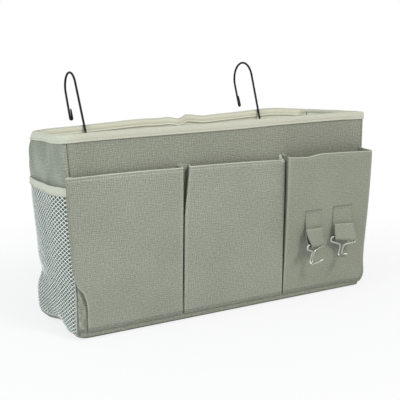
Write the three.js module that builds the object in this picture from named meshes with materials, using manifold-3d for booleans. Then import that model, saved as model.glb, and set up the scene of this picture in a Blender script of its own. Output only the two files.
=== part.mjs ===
// Bedside caddy: a stiffened canvas box with pleated front pockets, net end pockets, two wire hooks
// that hang it on a bed rail, and two key hooks on canvas tabs.
// Millimetres, +Z up. The origin is the middle of the base, -Y is the front and +X the right end.

import * as THREE from "three";
import { mergeVertices } from "three/addons/utils/BufferGeometryUtils.js";
import Module from "manifold-3d";

const wasm = await Module();
wasm.setup();

// Box, outside sizes
const LENGTH = 400;
const DEPTH = 120;
const HEIGHT = 230;
const CORNER = 4;
const CORNER_LEAST = 1;
const END_BOW = 5; // how far each unstiffened end wall bellies out
const END_BOW_LEVEL = 0.62; // share of the height above which it bellies fully

// Cloth, boards and the air between plies
const CANVAS = 1;
const LINING = 0.8;
const WALL_BOARD = 2;
const BASE_BOARD = 2.5;
const BOARD_SHORT = 2; // how far a wall board stops short of each end of its panel
const PLY_GAP = 0.3;

// Tape folded over the rim
const RIM_TAPE = 1;
const RIM_TAPE_WIDTH = 10;

// Front pockets: one strip, pleated beside each pocket and sewn down between them
const POCKET_CLOTH = 0.9;
const POCKET_DROP = 45; // rim to pocket mouth
const POCKET_SEAM = 9.4; // floor to the seam along the pocket feet
const POCKET_SEAM_WIDTH = 2;
const POCKET_FOOT_STAND = 1.7; // how far a pocket stands off the front panel at its foot
const POCKET_HEM = 9;
const POCKET_HEM_CLOTH = 1.6;
const POCKET_DIVIDER = 0.6; // half the width of the sewn line between two pockets
const POCKET_FULLNESS = 1.6; // above 1, a pocket opens out near its foot
const LEFT_POCKET_WIDTH = 130;
const MIDDLE_POCKET_WIDTH = 143;
const POCKET_LEVELS = [0, 0.1, 0.25, 0.45, 0.7]; // shares of the height below the hem with a section

// The fold at each side of a pocket: how far in from the seam it lies at the foot and at the mouth,
// and how far the mouth stands off the front panel. A negative fold lies beyond the seam.
const LEFT_POCKET_FOLDS = {
  left: { footFold: 12, mouthFold: -6, mouthStand: 9 },
  right: { footFold: 1, mouthFold: 2, mouthStand: 10 },
};
const MIDDLE_POCKET_FOLDS = {
  left: { footFold: 1, mouthFold: 7, mouthStand: 10 },
  right: { footFold: 1, mouthFold: 5, mouthStand: 9 },
};
const RIGHT_POCKET_FOLDS = {
  left: { footFold: 1, mouthFold: 2, mouthStand: 18 },
  right: { footFold: -9, mouthFold: -7, mouthStand: 20 },
};

// Net end pockets
const NET_CORD = 0.8;
const NET_STRAND = 2.2;
const NET_COLUMNS = 7;
const NET_ROWS = 9;
const NET_FOOT = 6;
const NET_DROP = 61; // rim to the net's top edge
const NET_SEAM = 1; // end of the net to the end of the flat side
const NET_BULGE = 7;
const NET_TAPE = 1;
const NET_TAPE_WIDTH = 10;

// Hanging hooks: one wire each, through an eyelet in the back wall
const HOOK_WIRE = 2.6;
const LEFT_HOOK_IN = 64; // left end of the box to the left hook
const RIGHT_HOOK_IN = 85; // right end of the box to the right hook
const HOOK_EYE_RADIUS = 10;
const HOOK_EYE_SWEEP = 175; // degrees of the lower bend
const HOOK_STEM = 63;
const HOOK_THROAT = 42; // the rail that fits
const HOOK_RETURN = 32;
const HOOK_HAIRPIN = 11;
const HOOK_HAIRPIN_GAP = 0.6;
const LEFT_HAIRPIN_TURN = 90; // degrees: the left hook's tip is folded sideways
const RIGHT_HAIRPIN_TURN = 0; // and the right one's towards its stem

// Eyelets
const EYELET_BORE = 3.2;
const EYELET_LIP = 0.6;
const EYELET_BARREL = 0.8;
const EYELET_FLANGE = 6.5;
const EYELET_FLANGE_THICK = 0.7;
const EYELET_DROP = 6.5; // rim tape's lower edge to the flange

// Canvas tabs on the right pocket, each folded round a key hook's bar
const TAB_CLOTH = 1.2;
const TAB_WIDTH = 29;
const TAB_LENGTH = 41;
const TAB_SEWN = 8;
const TAB_PLAY = 0.4; // bar to the inside of the fold
const RIGHT_TAB_IN = 40; // right end of the box to the tab's middle
const RIGHT_TAB_DROP = 68.5; // pocket mouth to the tab's top
const RIGHT_TAB_TWIST = -14; // degrees, from the sewn end to the fold
const RIGHT_TAB_LEAN = 4; // how far the fold stands forward of the sewn end
const RIGHT_TAB_TILT = 6; // degrees by which the fold slopes down to the right
const LEFT_TAB_IN = 87;
const LEFT_TAB_DROP = 69.5;
const LEFT_TAB_TWIST = 22;
const LEFT_TAB_LEAN = 7;
const LEFT_TAB_TILT = 4;

// Key hooks: one springy wire each, bent double
const KEY_WIRE = 1.8;
const KEY_FRAME_HALF = 18.5;
const KEY_FRAME_END = 4.6;
const KEY_END_BEND = 2.1;
const KEY_SHOULDER = 8.5; // bar to the point where the two wires turn down
const KEY_SHOULDER_BEND = 5;
const KEY_NECK_HALF = 1.9; // half the spacing of the two wires
const KEY_LENGTH = 28.5; // bar to the corner of the hook, before it is rounded
const KEY_HOOK_BEND = 3.5;
const KEY_REACH = 15.5; // neck to tip
const KEY_TIP_RISE = 15; // corner to tip
const KEY_BUTT = 0.4; // half the gap between the wire's ends, in the fold

// Facets
const CURVE_FACETS = 3;
const END_FACETS = 8;
const WALL_STEPS = 8;
const TAB_COLUMNS = 6;
const TAB_STEPS = 8;
const SAME_POINT = 1e-4;
const WIRE_SIDES = 10;
const KEY_WIRE_SIDES = 8;
const BEND_STEPS = 5;
const RING_FACETS = 24;

const MATERIALS = {
  canvas: { color: "#989b8d", roughness: 0.95, metalness: 0 },
  lining: { color: "#8f9186", roughness: 0.95, metalness: 0 },
  tape: { color: "#cdcebe", roughness: 0.9, metalness: 0 },
  net: { color: "#c3cac2", roughness: 0.8, metalness: 0 },
  board: { color: "#a58f6c", roughness: 1, metalness: 0 },
  blackWire: { color: "#242426", roughness: 0.35, metalness: 0.6 },
  nickel: { color: "#c9c8c2", roughness: 0.2, metalness: 1 },
};

// Sizes that follow from the ones above
const FACE_WALL = CANVAS + PLY_GAP + WALL_BOARD + PLY_GAP + LINING;
const END_WALL = CANVAS + PLY_GAP + LINING;
const WALL_FOOT = CANVAS + PLY_GAP;
const WALL_TOP = HEIGHT - RIM_TAPE - PLY_GAP;
const SEAM_X = LENGTH / 2 - CORNER; // where an end wall is sewn to the front and back panels
const PANEL_HALF = SEAM_X - PLY_GAP;
const FLOOR_LINING = WALL_FOOT + BASE_BOARD + PLY_GAP;
const POCKET_TOP = HEIGHT - POCKET_DROP;
const POCKET_PLANE = -DEPTH / 2 - PLY_GAP;
const NET_WIDTH = DEPTH - 2 * CORNER - 2 * NET_SEAM;
const NET_HEIGHT = HEIGHT - NET_DROP - NET_FOOT;
const EYELET_Z = HEIGHT - RIM_TAPE_WIDTH - EYELET_DROP - EYELET_FLANGE;
const EYELET_HOLE = EYELET_BORE + EYELET_BARREL + PLY_GAP;
const BACK_WALL_Y = DEPTH / 2 - FACE_WALL / 2;
const HOOK_X = [LEFT_HOOK_IN - LENGTH / 2, LENGTH / 2 - RIGHT_HOOK_IN];

// Solids and geometry

function withoutSlivers(geometry) {
  const bare = new THREE.BufferGeometry();
  const flat = geometry.index ? geometry.toNonIndexed() : geometry;
  bare.setAttribute("position", flat.getAttribute("position").clone());
  const merged = mergeVertices(bare, SAME_POINT);
  const kept = [];
  for (let i = 0; i < merged.index.count; i += 3) {
    const [a, b, c] = merged.index.array.slice(i, i + 3);
    if (a !== b && b !== c && c !== a) {
      kept.push(a, b, c);
    }
  }
  merged.setIndex(kept);
  return merged;
}

function solidOf(geometry) {
  const merged = withoutSlivers(geometry);
  return new wasm.Manifold(
    new wasm.Mesh({
      numProp: 3,
      vertProperties: new Float32Array(merged.getAttribute("position").array),
      triVerts: new Uint32Array(merged.index.array),
    }),
  );
}

function geometryOf(solid) {
  const mesh = solid.getMesh();
  const geometry = new THREE.BufferGeometry();
  geometry.setAttribute("position", new THREE.BufferAttribute(mesh.vertProperties, 3));
  geometry.setIndex(new THREE.BufferAttribute(mesh.triVerts, 1));
  return geometry;
}

// Turns a closed geometry's faces outwards, by the sign of its volume.
function facingOut(geometry) {
  const shape = withoutSlivers(geometry);
  const place = shape.getAttribute("position");
  const corners = [new THREE.Vector3(), new THREE.Vector3(), new THREE.Vector3()];
  const index = shape.index.array;
  let volume = 0;
  for (let i = 0; i < index.length; i += 3) {
    corners.forEach((corner, k) => corner.fromBufferAttribute(place, index[i + k]));
    volume += corners[0].dot(corners[1].clone().cross(corners[2]));
  }
  if (volume < 0) {
    shape.setIndex(Array.from(index).reverse());
  }
  return shape;
}

function block(x0, x1, y0, y1, z0, z1) {
  const box = new THREE.BoxGeometry(x1 - x0, y1 - y0, z1 - z0);
  return box.translate((x0 + x1) / 2, (y0 + y1) / 2, (z0 + z1) / 2);
}

// Triangles between two rings of equal count, given the index of each ring's first point.
function band(from, to, count) {
  return Array.from({ length: count }, (_, i) => {
    const next = (i + 1) % count;
    return [from + i, from + next, to + next, from + i, to + next, to + i];
  }).flat();
}

// A closed body through equal rings of points. The section gives the rings' outline in the plane, for
// a cap at each end; with no section the last ring meets the first.
function loft(rings, section) {
  const count = rings[0].length;
  const last = (rings.length - 1) * count;
  const index = rings.slice(1).flatMap((_, k) => band(k * count, (k + 1) * count, count));
  if (section) {
    for (const [a, b, c] of THREE.ShapeUtils.triangulateShape(section, [])) {
      index.push(c, b, a, last + a, last + b, last + c);
    }
  } else {
    index.push(...band(last, 0, count));
  }
  const geometry = new THREE.BufferGeometry().setFromPoints(rings.flat());
  geometry.setIndex(index);
  return facingOut(geometry);
}

// A flat grid of unit squares, each cut into two triangles.
function gridTriangles(columns, rows) {
  const triangles = [];
  for (let i = 0; i < columns; i += 1) {
    for (let j = 0; j < rows; j += 1) {
      const [a, b] = [new THREE.Vector2(i, j), new THREE.Vector2(i + 1, j)];
      const [c, d] = [new THREE.Vector2(i + 1, j + 1), new THREE.Vector2(i, j + 1)];
      triangles.push([a, b, c], [a, c, d]);
    }
  }
  return triangles;
}

// A sheet from flat triangles, where place(point, face) puts a point on either face of the sheet.
function thicken(triangles, place) {
  const corners = [];
  const edges = new Map();
  const key = (p, q) => `${p.x},${p.y}>${q.x},${q.y}`;
  for (const [a, b, c] of triangles) {
    corners.push(place(a, 1), place(b, 1), place(c, 1));
    corners.push(place(a, 0), place(c, 0), place(b, 0));
    edges.set(key(a, b), [a, b]);
    edges.set(key(b, c), [b, c]);
    edges.set(key(c, a), [c, a]);
  }
  for (const [p, q] of edges.values()) {
    if (!edges.has(key(q, p))) {
      corners.push(place(p, 0), place(q, 0), place(q, 1));
      corners.push(place(p, 0), place(q, 1), place(p, 1));
    }
  }
  return facingOut(new THREE.BufferGeometry().setFromPoints(corners));
}

// Wire forms

function arc(centre, across, up, radius, from, to, steps) {
  return Array.from({ length: steps + 1 }, (_, k) => {
    const angle = THREE.MathUtils.degToRad(from + ((to - from) * k) / steps);
    const point = centre.clone().addScaledVector(across, radius * Math.cos(angle));
    return point.addScaledVector(up, radius * Math.sin(angle));
  });
}

// Centre line through corners, each rounded to its own bend radius.
function bent(corners) {
  const line = [corners[0].at];
  for (let k = 1; k < corners.length - 1; k += 1) {
    const { at, bend } = corners[k];
    const before = corners[k - 1].at.clone().sub(at).normalize();
    const after = corners[k + 1].at.clone().sub(at).normalize();
    const half = before.angleTo(after) / 2;
    const middle = before.clone().add(after).normalize();
    const centre = at.clone().addScaledVector(middle, bend / Math.sin(half));
    const out = middle.clone().negate();
    const along = after.clone().addScaledVector(middle, -after.dot(middle)).normalize();
    const sweep = 90 - THREE.MathUtils.radToDeg(half);
    line.push(...arc(centre, out, along, bend, -sweep, sweep, BEND_STEPS));
  }
  line.push(corners[corners.length - 1].at);
  return line;
}

function wire(line, diameter, sides) {
  const section = arc(
    new THREE.Vector3(),
    new THREE.Vector3(1, 0, 0),
    new THREE.Vector3(0, 1, 0),
    diameter / 2,
    0,
    360 - 360 / sides,
    sides - 1,
  );
  const normal = new THREE.Vector3();
  const rings = line.map((point, k) => {
    const next = line[Math.min(k + 1, line.length - 1)];
    const previous = line[Math.max(k - 1, 0)];
    const tangent = next.clone().sub(previous).normalize();
    if (k === 0) {
      const alongX = Math.abs(tangent.x) > Math.abs(tangent.z);
      normal.set(alongX ? 0 : 1, 0, alongX ? 1 : 0);
    }
    normal.addScaledVector(tangent, -normal.dot(tangent)).normalize();
    const binormal = tangent.clone().cross(normal);
    return section.map((s) => point.clone().addScaledVector(normal, s.x).addScaledVector(binormal, s.y));
  });
  return loft(rings, section);
}

function centroid(line) {
  const sum = new THREE.Vector3();
  let length = 0;
  for (let k = 1; k < line.length; k += 1) {
    const step = line[k].distanceTo(line[k - 1]);
    sum.addScaledVector(line[k].clone().add(line[k - 1]), step / 2);
    length += step;
  }
  return sum.divideScalar(length);
}

// Box walls

// Plan of one end wall, from its front seam round both corners to its back seam.
// It is inset from the box's outer face by one amount at the end and another front and back.
function endPath(end, face) {
  const x = LENGTH / 2 - end;
  const y = DEPTH / 2 - face;
  const r = Math.max(CORNER - Math.max(end, face), CORNER_LEAST);
  const across = new THREE.Vector3(1, 0, 0);
  const up = new THREE.Vector3(0, 1, 0);
  const seam = Math.min(SEAM_X, x - r);
  const straight = Array.from({ length: END_FACETS - 1 }, (_, k) => {
    return new THREE.Vector3(x, (y - r) * ((2 * (k + 1)) / END_FACETS - 1), 0);
  });
  return [
    new THREE.Vector3(seam, -y, 0),
    ...arc(new THREE.Vector3(x - r, r - y, 0), across, up, r, -90, 0, CURVE_FACETS),
    ...straight,
    ...arc(new THREE.Vector3(x - r, y - r, 0), across, up, r, 0, 90, CURVE_FACETS),
    new THREE.Vector3(seam, y, 0),
  ];
}

function planLoop(end, face) {
  const right = endPath(end, face);
  return [...right, ...right.map((p) => p.clone().negate())];
}

// How far an end wall bellies out at a place across it and a height: not at all at the floor.
function endBelly(y, z) {
  const across = Math.max(1 - ((2 * y) / DEPTH) ** 2, 0);
  const level = Math.min(Math.max(z / (END_BOW_LEVEL * HEIGHT), 0), 1);
  return END_BOW * across * Math.sin((Math.PI / 2) * level);
}

function endWall(side, outer, inner) {
  const paths = [endPath(inner.end, inner.face), endPath(outer.end, outer.face)];
  return thicken(gridTriangles(paths[0].length - 1, WALL_STEPS), (p, face) => {
    const { x, y } = paths[face][p.x];
    const z = THREE.MathUtils.lerp(WALL_FOOT, WALL_TOP, p.y / WALL_STEPS);
    return new THREE.Vector3(side * (x + endBelly(y, z)), y, z);
  });
}

// A flat front or back ply, between two insets from the box's outer face.
function facePly(front, halfLength, outer, inner) {
  const half = DEPTH / 2;
  const [low, high] = front ? [outer - half, inner - half] : [half - inner, half - outer];
  const ply = block(-halfLength, halfLength, low, high, WALL_FOOT, WALL_TOP);
  return front ? ply : withEyelets(solidOf(ply));
}

function withEyelets(solid) {
  const drilled = HOOK_X.reduce((rest, x) => {
    const drill = new THREE.CylinderGeometry(EYELET_HOLE, EYELET_HOLE, DEPTH / 2, RING_FACETS);
    return rest.subtract(solidOf(drill.translate(x, BACK_WALL_Y, EYELET_Z)));
  }, solid);
  return geometryOf(drilled);
}

// Tape folded over the rim: its outer leg, top and inner leg, round the whole box.
function rimBinding() {
  const out = PLY_GAP + RIM_TAPE;
  const low = HEIGHT - RIM_TAPE_WIDTH;
  const under = HEIGHT - RIM_TAPE;
  const section = [
    [-out, -out, low],
    [-out, -out, HEIGHT],
    [END_WALL + out, FACE_WALL + out, HEIGHT],
    [END_WALL + out, FACE_WALL + out, low],
    [END_WALL + PLY_GAP, FACE_WALL + PLY_GAP, low],
    [END_WALL + PLY_GAP, FACE_WALL + PLY_GAP, under],
    [-PLY_GAP, -PLY_GAP, under],
    [-PLY_GAP, -PLY_GAP, low],
  ];
  const loops = section.map(([end, face, z]) => {
    return planLoop(end, face).map(({ x, y }) => {
      return new THREE.Vector3(x + Math.sign(x) * endBelly(y, z), y, z);
    });
  });
  return loft(loops[0].map((_, k) => loops.map((loop) => loop[k])));
}

function floorSheet(end, face, low, thick) {
  const loop = planLoop(end, face).filter((p, k, all) => p.distanceTo(all.at(k - 1)) > SAME_POINT);
  const options = { depth: thick, bevelEnabled: false };
  return new THREE.ExtrudeGeometry(new THREE.Shape(loop), options).translate(0, 0, low);
}

// Front pockets

function crossing(p, along, q, other) {
  const gap = q.clone().sub(p);
  return p.clone().addScaledVector(along, gap.cross(other) / along.cross(other));
}

// One pocket's outline in plan, from its left seam over both folds to its right seam and back inside.
function pocketSection(left, right, cloth) {
  const seamLeft = new THREE.Vector2(left.seam, 0);
  const foldLeft = new THREE.Vector2(left.seam + left.fold, -left.stand);
  const foldRight = new THREE.Vector2(right.seam - right.fold, -right.stand);
  const seamRight = new THREE.Vector2(right.seam, 0);
  const outer = [seamLeft, foldLeft, foldRight, seamRight];
  const sides = [0, 1, 2].map((k) => {
    const along = outer[k + 1].clone().sub(outer[k]).normalize();
    const inward = new THREE.Vector2(-along.y, along.x);
    return { along, at: outer[k].clone().addScaledVector(inward, cloth) };
  });
  const panel = { along: new THREE.Vector2(1, 0), at: seamLeft };
  const lines = [panel, ...sides, panel];
  const inner = [0, 1, 2, 3].map((k) => {
    return crossing(lines[k + 1].at, lines[k + 1].along, lines[k].at, lines[k].along);
  });
  return [...outer, ...inner.reverse()];
}

// A pocket's side at a height, from its foot (0) to its mouth (1).
function pocketSide(side, t) {
  const open = 1 - (1 - t) ** POCKET_FULLNESS;
  const fold = THREE.MathUtils.lerp(side.footFold, side.mouthFold, open);
  const stand = THREE.MathUtils.lerp(POCKET_FOOT_STAND, side.mouthStand, open);
  return { seam: side.seam, fold, stand };
}

function pocket(left, right) {
  const height = POCKET_TOP - POCKET_SEAM;
  const hem = 1 - POCKET_HEM / height;
  const hemStep = 1 - (POCKET_HEM + POCKET_HEM_CLOTH) / height;
  const levels = [...POCKET_LEVELS.filter((t) => t < hemStep), hemStep, hem, 1];
  const sections = levels.map((t) => {
    const cloth = t < hem ? POCKET_CLOTH : POCKET_HEM_CLOTH;
    return pocketSection(pocketSide(left, t), pocketSide(right, t), cloth);
  });
  const rings = sections.map((section, k) => {
    const z = POCKET_SEAM + levels[k] * height;
    return section.map((p) => new THREE.Vector3(p.x, POCKET_PLANE + p.y, z));
  });
  const bag = solidOf(loft(rings, sections[sections.length - 1]));
  const low = POCKET_PLANE - POCKET_FOOT_STAND;
  const seamTop = POCKET_SEAM + POCKET_SEAM_WIDTH / 2;
  const foot = block(left.seam, right.seam, low, POCKET_PLANE, POCKET_SEAM - POCKET_SEAM_WIDTH / 2, seamTop);
  return geometryOf(bag.add(solidOf(foot)));
}

const FIRST_DIVIDER = -SEAM_X + LEFT_POCKET_WIDTH;
const SECOND_DIVIDER = FIRST_DIVIDER + MIDDLE_POCKET_WIDTH;
const LEFT_POCKET = {
  left: { seam: -SEAM_X, ...LEFT_POCKET_FOLDS.left },
  right: { seam: FIRST_DIVIDER - POCKET_DIVIDER, ...LEFT_POCKET_FOLDS.right },
};
const MIDDLE_POCKET = {
  left: { seam: FIRST_DIVIDER + POCKET_DIVIDER, ...MIDDLE_POCKET_FOLDS.left },
  right: { seam: SECOND_DIVIDER - POCKET_DIVIDER, ...MIDDLE_POCKET_FOLDS.right },
};
const RIGHT_POCKET = {
  left: { seam: SECOND_DIVIDER + POCKET_DIVIDER, ...RIGHT_POCKET_FOLDS.left },
  right: { seam: SEAM_X, ...RIGHT_POCKET_FOLDS.right },
};

// Front of the right pocket's cloth at a place along the box and a height.
function rightPocketFace(x, z) {
  const t = (z - POCKET_SEAM) / (POCKET_TOP - POCKET_SEAM);
  const left = pocketSide(RIGHT_POCKET.left, t);
  const right = pocketSide(RIGHT_POCKET.right, t);
  const from = left.seam + left.fold;
  const to = right.seam - right.fold;
  return POCKET_PLANE - THREE.MathUtils.mapLinear(x, from, to, left.stand, right.stand);
}

// Net end pockets

// Diamonds of cord that tile the sheet, with plain cloth in the half diamonds along its edges.
function netTriangles() {
  const a = NET_WIDTH / NET_COLUMNS / 2;
  const b = NET_HEIGHT / NET_ROWS / 2;
  const at = (i, j) => new THREE.Vector2(i * a, j * b);
  const open = 1 - (NET_STRAND * Math.hypot(a, b)) / (2 * a * b);
  const triangles = [];
  for (let i = 0; i <= 2 * NET_COLUMNS; i += 1) {
    for (let j = 0; j <= 2 * NET_ROWS; j += 1) {
      const edge = i === 0 || j === 0 || i === 2 * NET_COLUMNS || j === 2 * NET_ROWS;
      const tips = [at(i + 1, j), at(i, j + 1), at(i - 1, j), at(i, j - 1)];
      const centre = at(i, j);
      if ((i + j) % 2 === 0 && (i % 2 === 1 || !edge)) {
        const holes = tips.map((tip) => centre.clone().lerp(tip, open));
        tips.forEach((tip, k) => {
          const n = (k + 1) % 4;
          triangles.push([tip, tips[n], holes[n]], [tip, holes[n], holes[k]]);
        });
      } else if ((i + j) % 2 === 0) {
        const within = tips.map((p) => {
          const inX = p.x > -a / 2 && p.x < NET_WIDTH + a / 2;
          return inX && p.y > -b / 2 && p.y < NET_HEIGHT + b / 2;
        });
        [0, 1, 2, 3].forEach((k) => {
          const n = (k + 1) % 4;
          if (within[k] && within[n]) {
            triangles.push([centre, tips[k], tips[n]]);
          }
        });
      }
    }
  }
  return triangles;
}

// A point of the net, from its place along the end wall, its height above the net's foot, and a distance
// out from the net's inner face.
function netPoint(side, along, up, out) {
  const y = along - NET_WIDTH / 2;
  const z = NET_FOOT + up;
  const belly = NET_TAPE + PLY_GAP + NET_BULGE * Math.sin((Math.PI * along) / NET_WIDTH);
  const stand = PLY_GAP + belly * Math.sin((Math.PI * Math.min(up / NET_HEIGHT, 1)) / 2);
  return new THREE.Vector3(side * (LENGTH / 2 + endBelly(y, z) + stand + out), y, z);
}

function net(side) {
  return thicken(netTriangles(), (p, face) => netPoint(side, p.x, p.y, face * NET_CORD));
}

// Tape folded over the net's top edge.
function netBinding(side) {
  const near = -PLY_GAP;
  const far = NET_CORD + PLY_GAP;
  const low = NET_HEIGHT - NET_TAPE_WIDTH;
  const top = NET_HEIGHT + PLY_GAP;
  const section = [
    new THREE.Vector2(near - NET_TAPE, top + NET_TAPE),
    new THREE.Vector2(near - NET_TAPE, low),
    new THREE.Vector2(near, low),
    new THREE.Vector2(near, top),
    new THREE.Vector2(far, top),
    new THREE.Vector2(far, low),
    new THREE.Vector2(far + NET_TAPE, low),
    new THREE.Vector2(far + NET_TAPE, top + NET_TAPE),
  ];
  const stations = 2 * NET_COLUMNS;
  const rings = Array.from({ length: stations + 1 }, (_, k) => {
    const along = (NET_WIDTH * k) / stations;
    return section.map((p) => netPoint(side, along, p.y, p.x));
  });
  return loft(rings, section);
}

// Hanging hooks and eyelets

// The lower bend lies on a circle about the hinge line, so the wire turns through the eyelet along itself.
// The wire rests on the bottom of the eyelet, and the stem leans on the rim tape.
const HINGE_Y = BACK_WALL_Y;
const HINGE_Z = EYELET_Z - EYELET_BORE + HOOK_WIRE / 2 + PLY_GAP + HOOK_EYE_RADIUS;

function hookLean() {
  const y = DEPTH / 2 - FACE_WALL - PLY_GAP - RIM_TAPE - HINGE_Y;
  const z = HEIGHT - HINGE_Z;
  const offset = HOOK_WIRE / 2 + PLY_GAP - HOOK_EYE_RADIUS;
  return Math.acos(offset / Math.hypot(y, z)) - Math.atan2(z, y);
}

// In the hook's own frame the stem runs up +Z and the throat opens towards +Y.
function hookLine(hairpinTurn) {
  const back = new THREE.Vector3(0, 1, 0);
  const up = new THREE.Vector3(0, 0, 1);
  const bend = (HOOK_THROAT + HOOK_WIRE) / 2;
  const arch = new THREE.Vector3(0, bend - HOOK_EYE_RADIUS, HOOK_STEM);
  const turn = THREE.MathUtils.degToRad(hairpinTurn);
  const aside = new THREE.Vector3(Math.sin(turn), -Math.cos(turn), 0);
  const half = (HOOK_WIRE + HOOK_HAIRPIN_GAP) / 2;
  const returnEnd = arch.clone().addScaledVector(back, bend).addScaledVector(up, -HOOK_RETURN);
  const hairpin = returnEnd.clone().addScaledVector(aside, half);
  const end = hairpin.clone().addScaledVector(aside, half).addScaledVector(up, HOOK_HAIRPIN);
  return [
    ...arc(new THREE.Vector3(), back, up, HOOK_EYE_RADIUS, 180 + HOOK_EYE_SWEEP, 180, 2 * BEND_STEPS),
    ...arc(arch, back, up, bend, 180, 0, 3 * BEND_STEPS),
    ...arc(hairpin, aside, up, half, 180, 360, BEND_STEPS),
    end,
  ];
}

function eyelet() {
  const half = FACE_WALL / 2 + PLY_GAP;
  const face = half + EYELET_FLANGE_THICK;
  const barrel = EYELET_BORE + EYELET_BARREL;
  const profile = [
    [EYELET_BORE, -face + EYELET_LIP],
    [EYELET_BORE + EYELET_LIP, -face],
    [EYELET_FLANGE, -face],
    [EYELET_FLANGE, -half],
    [barrel, -half],
    [barrel, half],
    [EYELET_FLANGE, half],
    [EYELET_FLANGE, face],
    [EYELET_BORE + EYELET_LIP, face],
    [EYELET_BORE, face - EYELET_LIP],
    [EYELET_BORE, -face + EYELET_LIP],
  ].map(([r, y]) => new THREE.Vector2(r, y));
  return facingOut(new THREE.LatheGeometry(profile, RING_FACETS));
}

// Tabs and key hooks

const TAB_BEND = KEY_WIRE / 2 + TAB_PLAY + TAB_CLOTH / 2; // middle of the cloth, round the bar
const TAB_MIDDLE = TAB_CLOTH + PLY_GAP / 2; // back of the tab to the middle of its two plies

// A strap folded double, hung from its sewn top edge at the origin, with its fold round a bar.
function tab(twist, lean, tilt) {
  const near = TAB_CLOTH / 2;
  const far = 2 * TAB_MIDDLE - near;
  const steps = Array.from({ length: TAB_STEPS }, (_, k) => k / TAB_STEPS);
  const ply = (top, bottom) => [
    new THREE.Vector2(top, 0),
    ...steps.map((t) => {
      const z = -THREE.MathUtils.lerp(TAB_SEWN, TAB_LENGTH, t);
      return new THREE.Vector2(THREE.MathUtils.lerp(top, bottom, t), z);
    }),
  ];
  const across = new THREE.Vector3(1, 0, 0);
  const up = new THREE.Vector3(0, 1, 0);
  const slope = Math.tan(THREE.MathUtils.degToRad(tilt));
  const centre = new THREE.Vector3(TAB_MIDDLE, -TAB_LENGTH, 0);
  const fold = arc(centre, across, up, TAB_BEND, 180, 360, 2 * BEND_STEPS);
  const line = [
    ...ply(near, TAB_MIDDLE - TAB_BEND),
    ...fold.map((p) => new THREE.Vector2(p.x, p.y)),
    ...ply(far, TAB_MIDDLE + TAB_BEND).reverse(),
  ];
  return thicken(gridTriangles(TAB_COLUMNS, line.length - 1), (p, face) => {
    const next = line[Math.min(p.y + 1, line.length - 1)];
    const previous = line[Math.max(p.y - 1, 0)];
    const along = next.clone().sub(previous).normalize();
    const aside = TAB_WIDTH * (p.x / TAB_COLUMNS - 1 / 2);
    const off = TAB_CLOTH * (face - 1 / 2);
    const out = line[p.y].x + along.y * off - TAB_MIDDLE;
    const level = line[p.y].y - along.x * off;
    const share = Math.min(Math.max(-level / TAB_LENGTH, 0), 1);
    const turn = THREE.MathUtils.degToRad(twist) * share;
    const x = aside * Math.cos(turn) + out * Math.sin(turn);
    const y = aside * Math.sin(turn) - out * Math.cos(turn) - TAB_MIDDLE - lean * share;
    return new THREE.Vector3(x, y, level - slope * aside * share);
  });
}

// Key hook with its bar along X at the origin, neck down and tip forward.
function keyLine() {
  const low = -KEY_LENGTH;
  const half = KEY_NECK_HALF;
  const side = [
    [KEY_BUTT, 0, 0, 0],
    [KEY_FRAME_HALF, 0, 0, KEY_END_BEND],
    [KEY_FRAME_HALF, 0, -KEY_FRAME_END, KEY_END_BEND],
    [half, 0, -KEY_SHOULDER, KEY_SHOULDER_BEND],
    [half, 0, low, KEY_HOOK_BEND],
    [half, -KEY_REACH, low + KEY_TIP_RISE, half],
  ];
  const mirrored = [...side].reverse().map(([x, y, z, bend]) => [-x, y, z, bend]);
  return bent([...side, ...mirrored].map(([x, y, z, bend]) => ({ at: new THREE.Vector3(x, y, z), bend })));
}

// Assembly

const caddy = new THREE.Group();
caddy.name = "bedside_caddy";

function add(name, material, geometry, parent = caddy) {
  const mesh = new THREE.Mesh(geometry, new THREE.MeshStandardMaterial(MATERIALS[material]));
  mesh.name = name;
  parent.add(mesh);
  return mesh;
}

function placed(x, y, z) {
  const group = new THREE.Group();
  group.position.set(x, y, z);
  caddy.add(group);
  return group;
}

const outside = { end: 0, face: 0 };
const canvasInside = { end: CANVAS, face: CANVAS };
add("front_panel", "canvas", facePly(true, PANEL_HALF, 0, CANVAS));
add("back_panel", "canvas", facePly(false, PANEL_HALF, 0, CANVAS));
add("left_side_panel", "canvas", endWall(-1, outside, canvasInside));
add("right_side_panel", "canvas", endWall(1, outside, canvasInside));
add("bottom_panel", "canvas", floorSheet(0, 0, 0, CANVAS));

const boardFace = CANVAS + PLY_GAP;
const boardHalf = PANEL_HALF - BOARD_SHORT;
const floorEnd = END_WALL + PLY_GAP;
const floorFace = FACE_WALL + PLY_GAP;
add("front_board", "board", facePly(true, boardHalf, boardFace, boardFace + WALL_BOARD));
add("back_board", "board", facePly(false, boardHalf, boardFace, boardFace + WALL_BOARD));
add("base_board", "board", floorSheet(floorEnd, floorFace, WALL_FOOT, BASE_BOARD));

const liningOutside = { end: END_WALL - LINING, face: FACE_WALL - LINING };
const liningInside = { end: END_WALL, face: FACE_WALL };
add("lining_front", "lining", facePly(true, PANEL_HALF, liningOutside.face, liningInside.face));
add("lining_back", "lining", facePly(false, PANEL_HALF, liningOutside.face, liningInside.face));
add("lining_left", "lining", endWall(-1, liningOutside, liningInside));
add("lining_right", "lining", endWall(1, liningOutside, liningInside));
add("lining_floor", "lining", floorSheet(floorEnd, floorFace, FLOOR_LINING, LINING));

add("rim_binding", "tape", rimBinding());

add("pocket_left", "canvas", pocket(LEFT_POCKET.left, LEFT_POCKET.right));
add("pocket_middle", "canvas", pocket(MIDDLE_POCKET.left, MIDDLE_POCKET.right));
add("pocket_right", "canvas", pocket(RIGHT_POCKET.left, RIGHT_POCKET.right));

add("net_left", "net", net(-1));
add("net_right", "net", net(1));
add("net_binding_left", "tape", netBinding(-1));
add("net_binding_right", "tape", netBinding(1));

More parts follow.
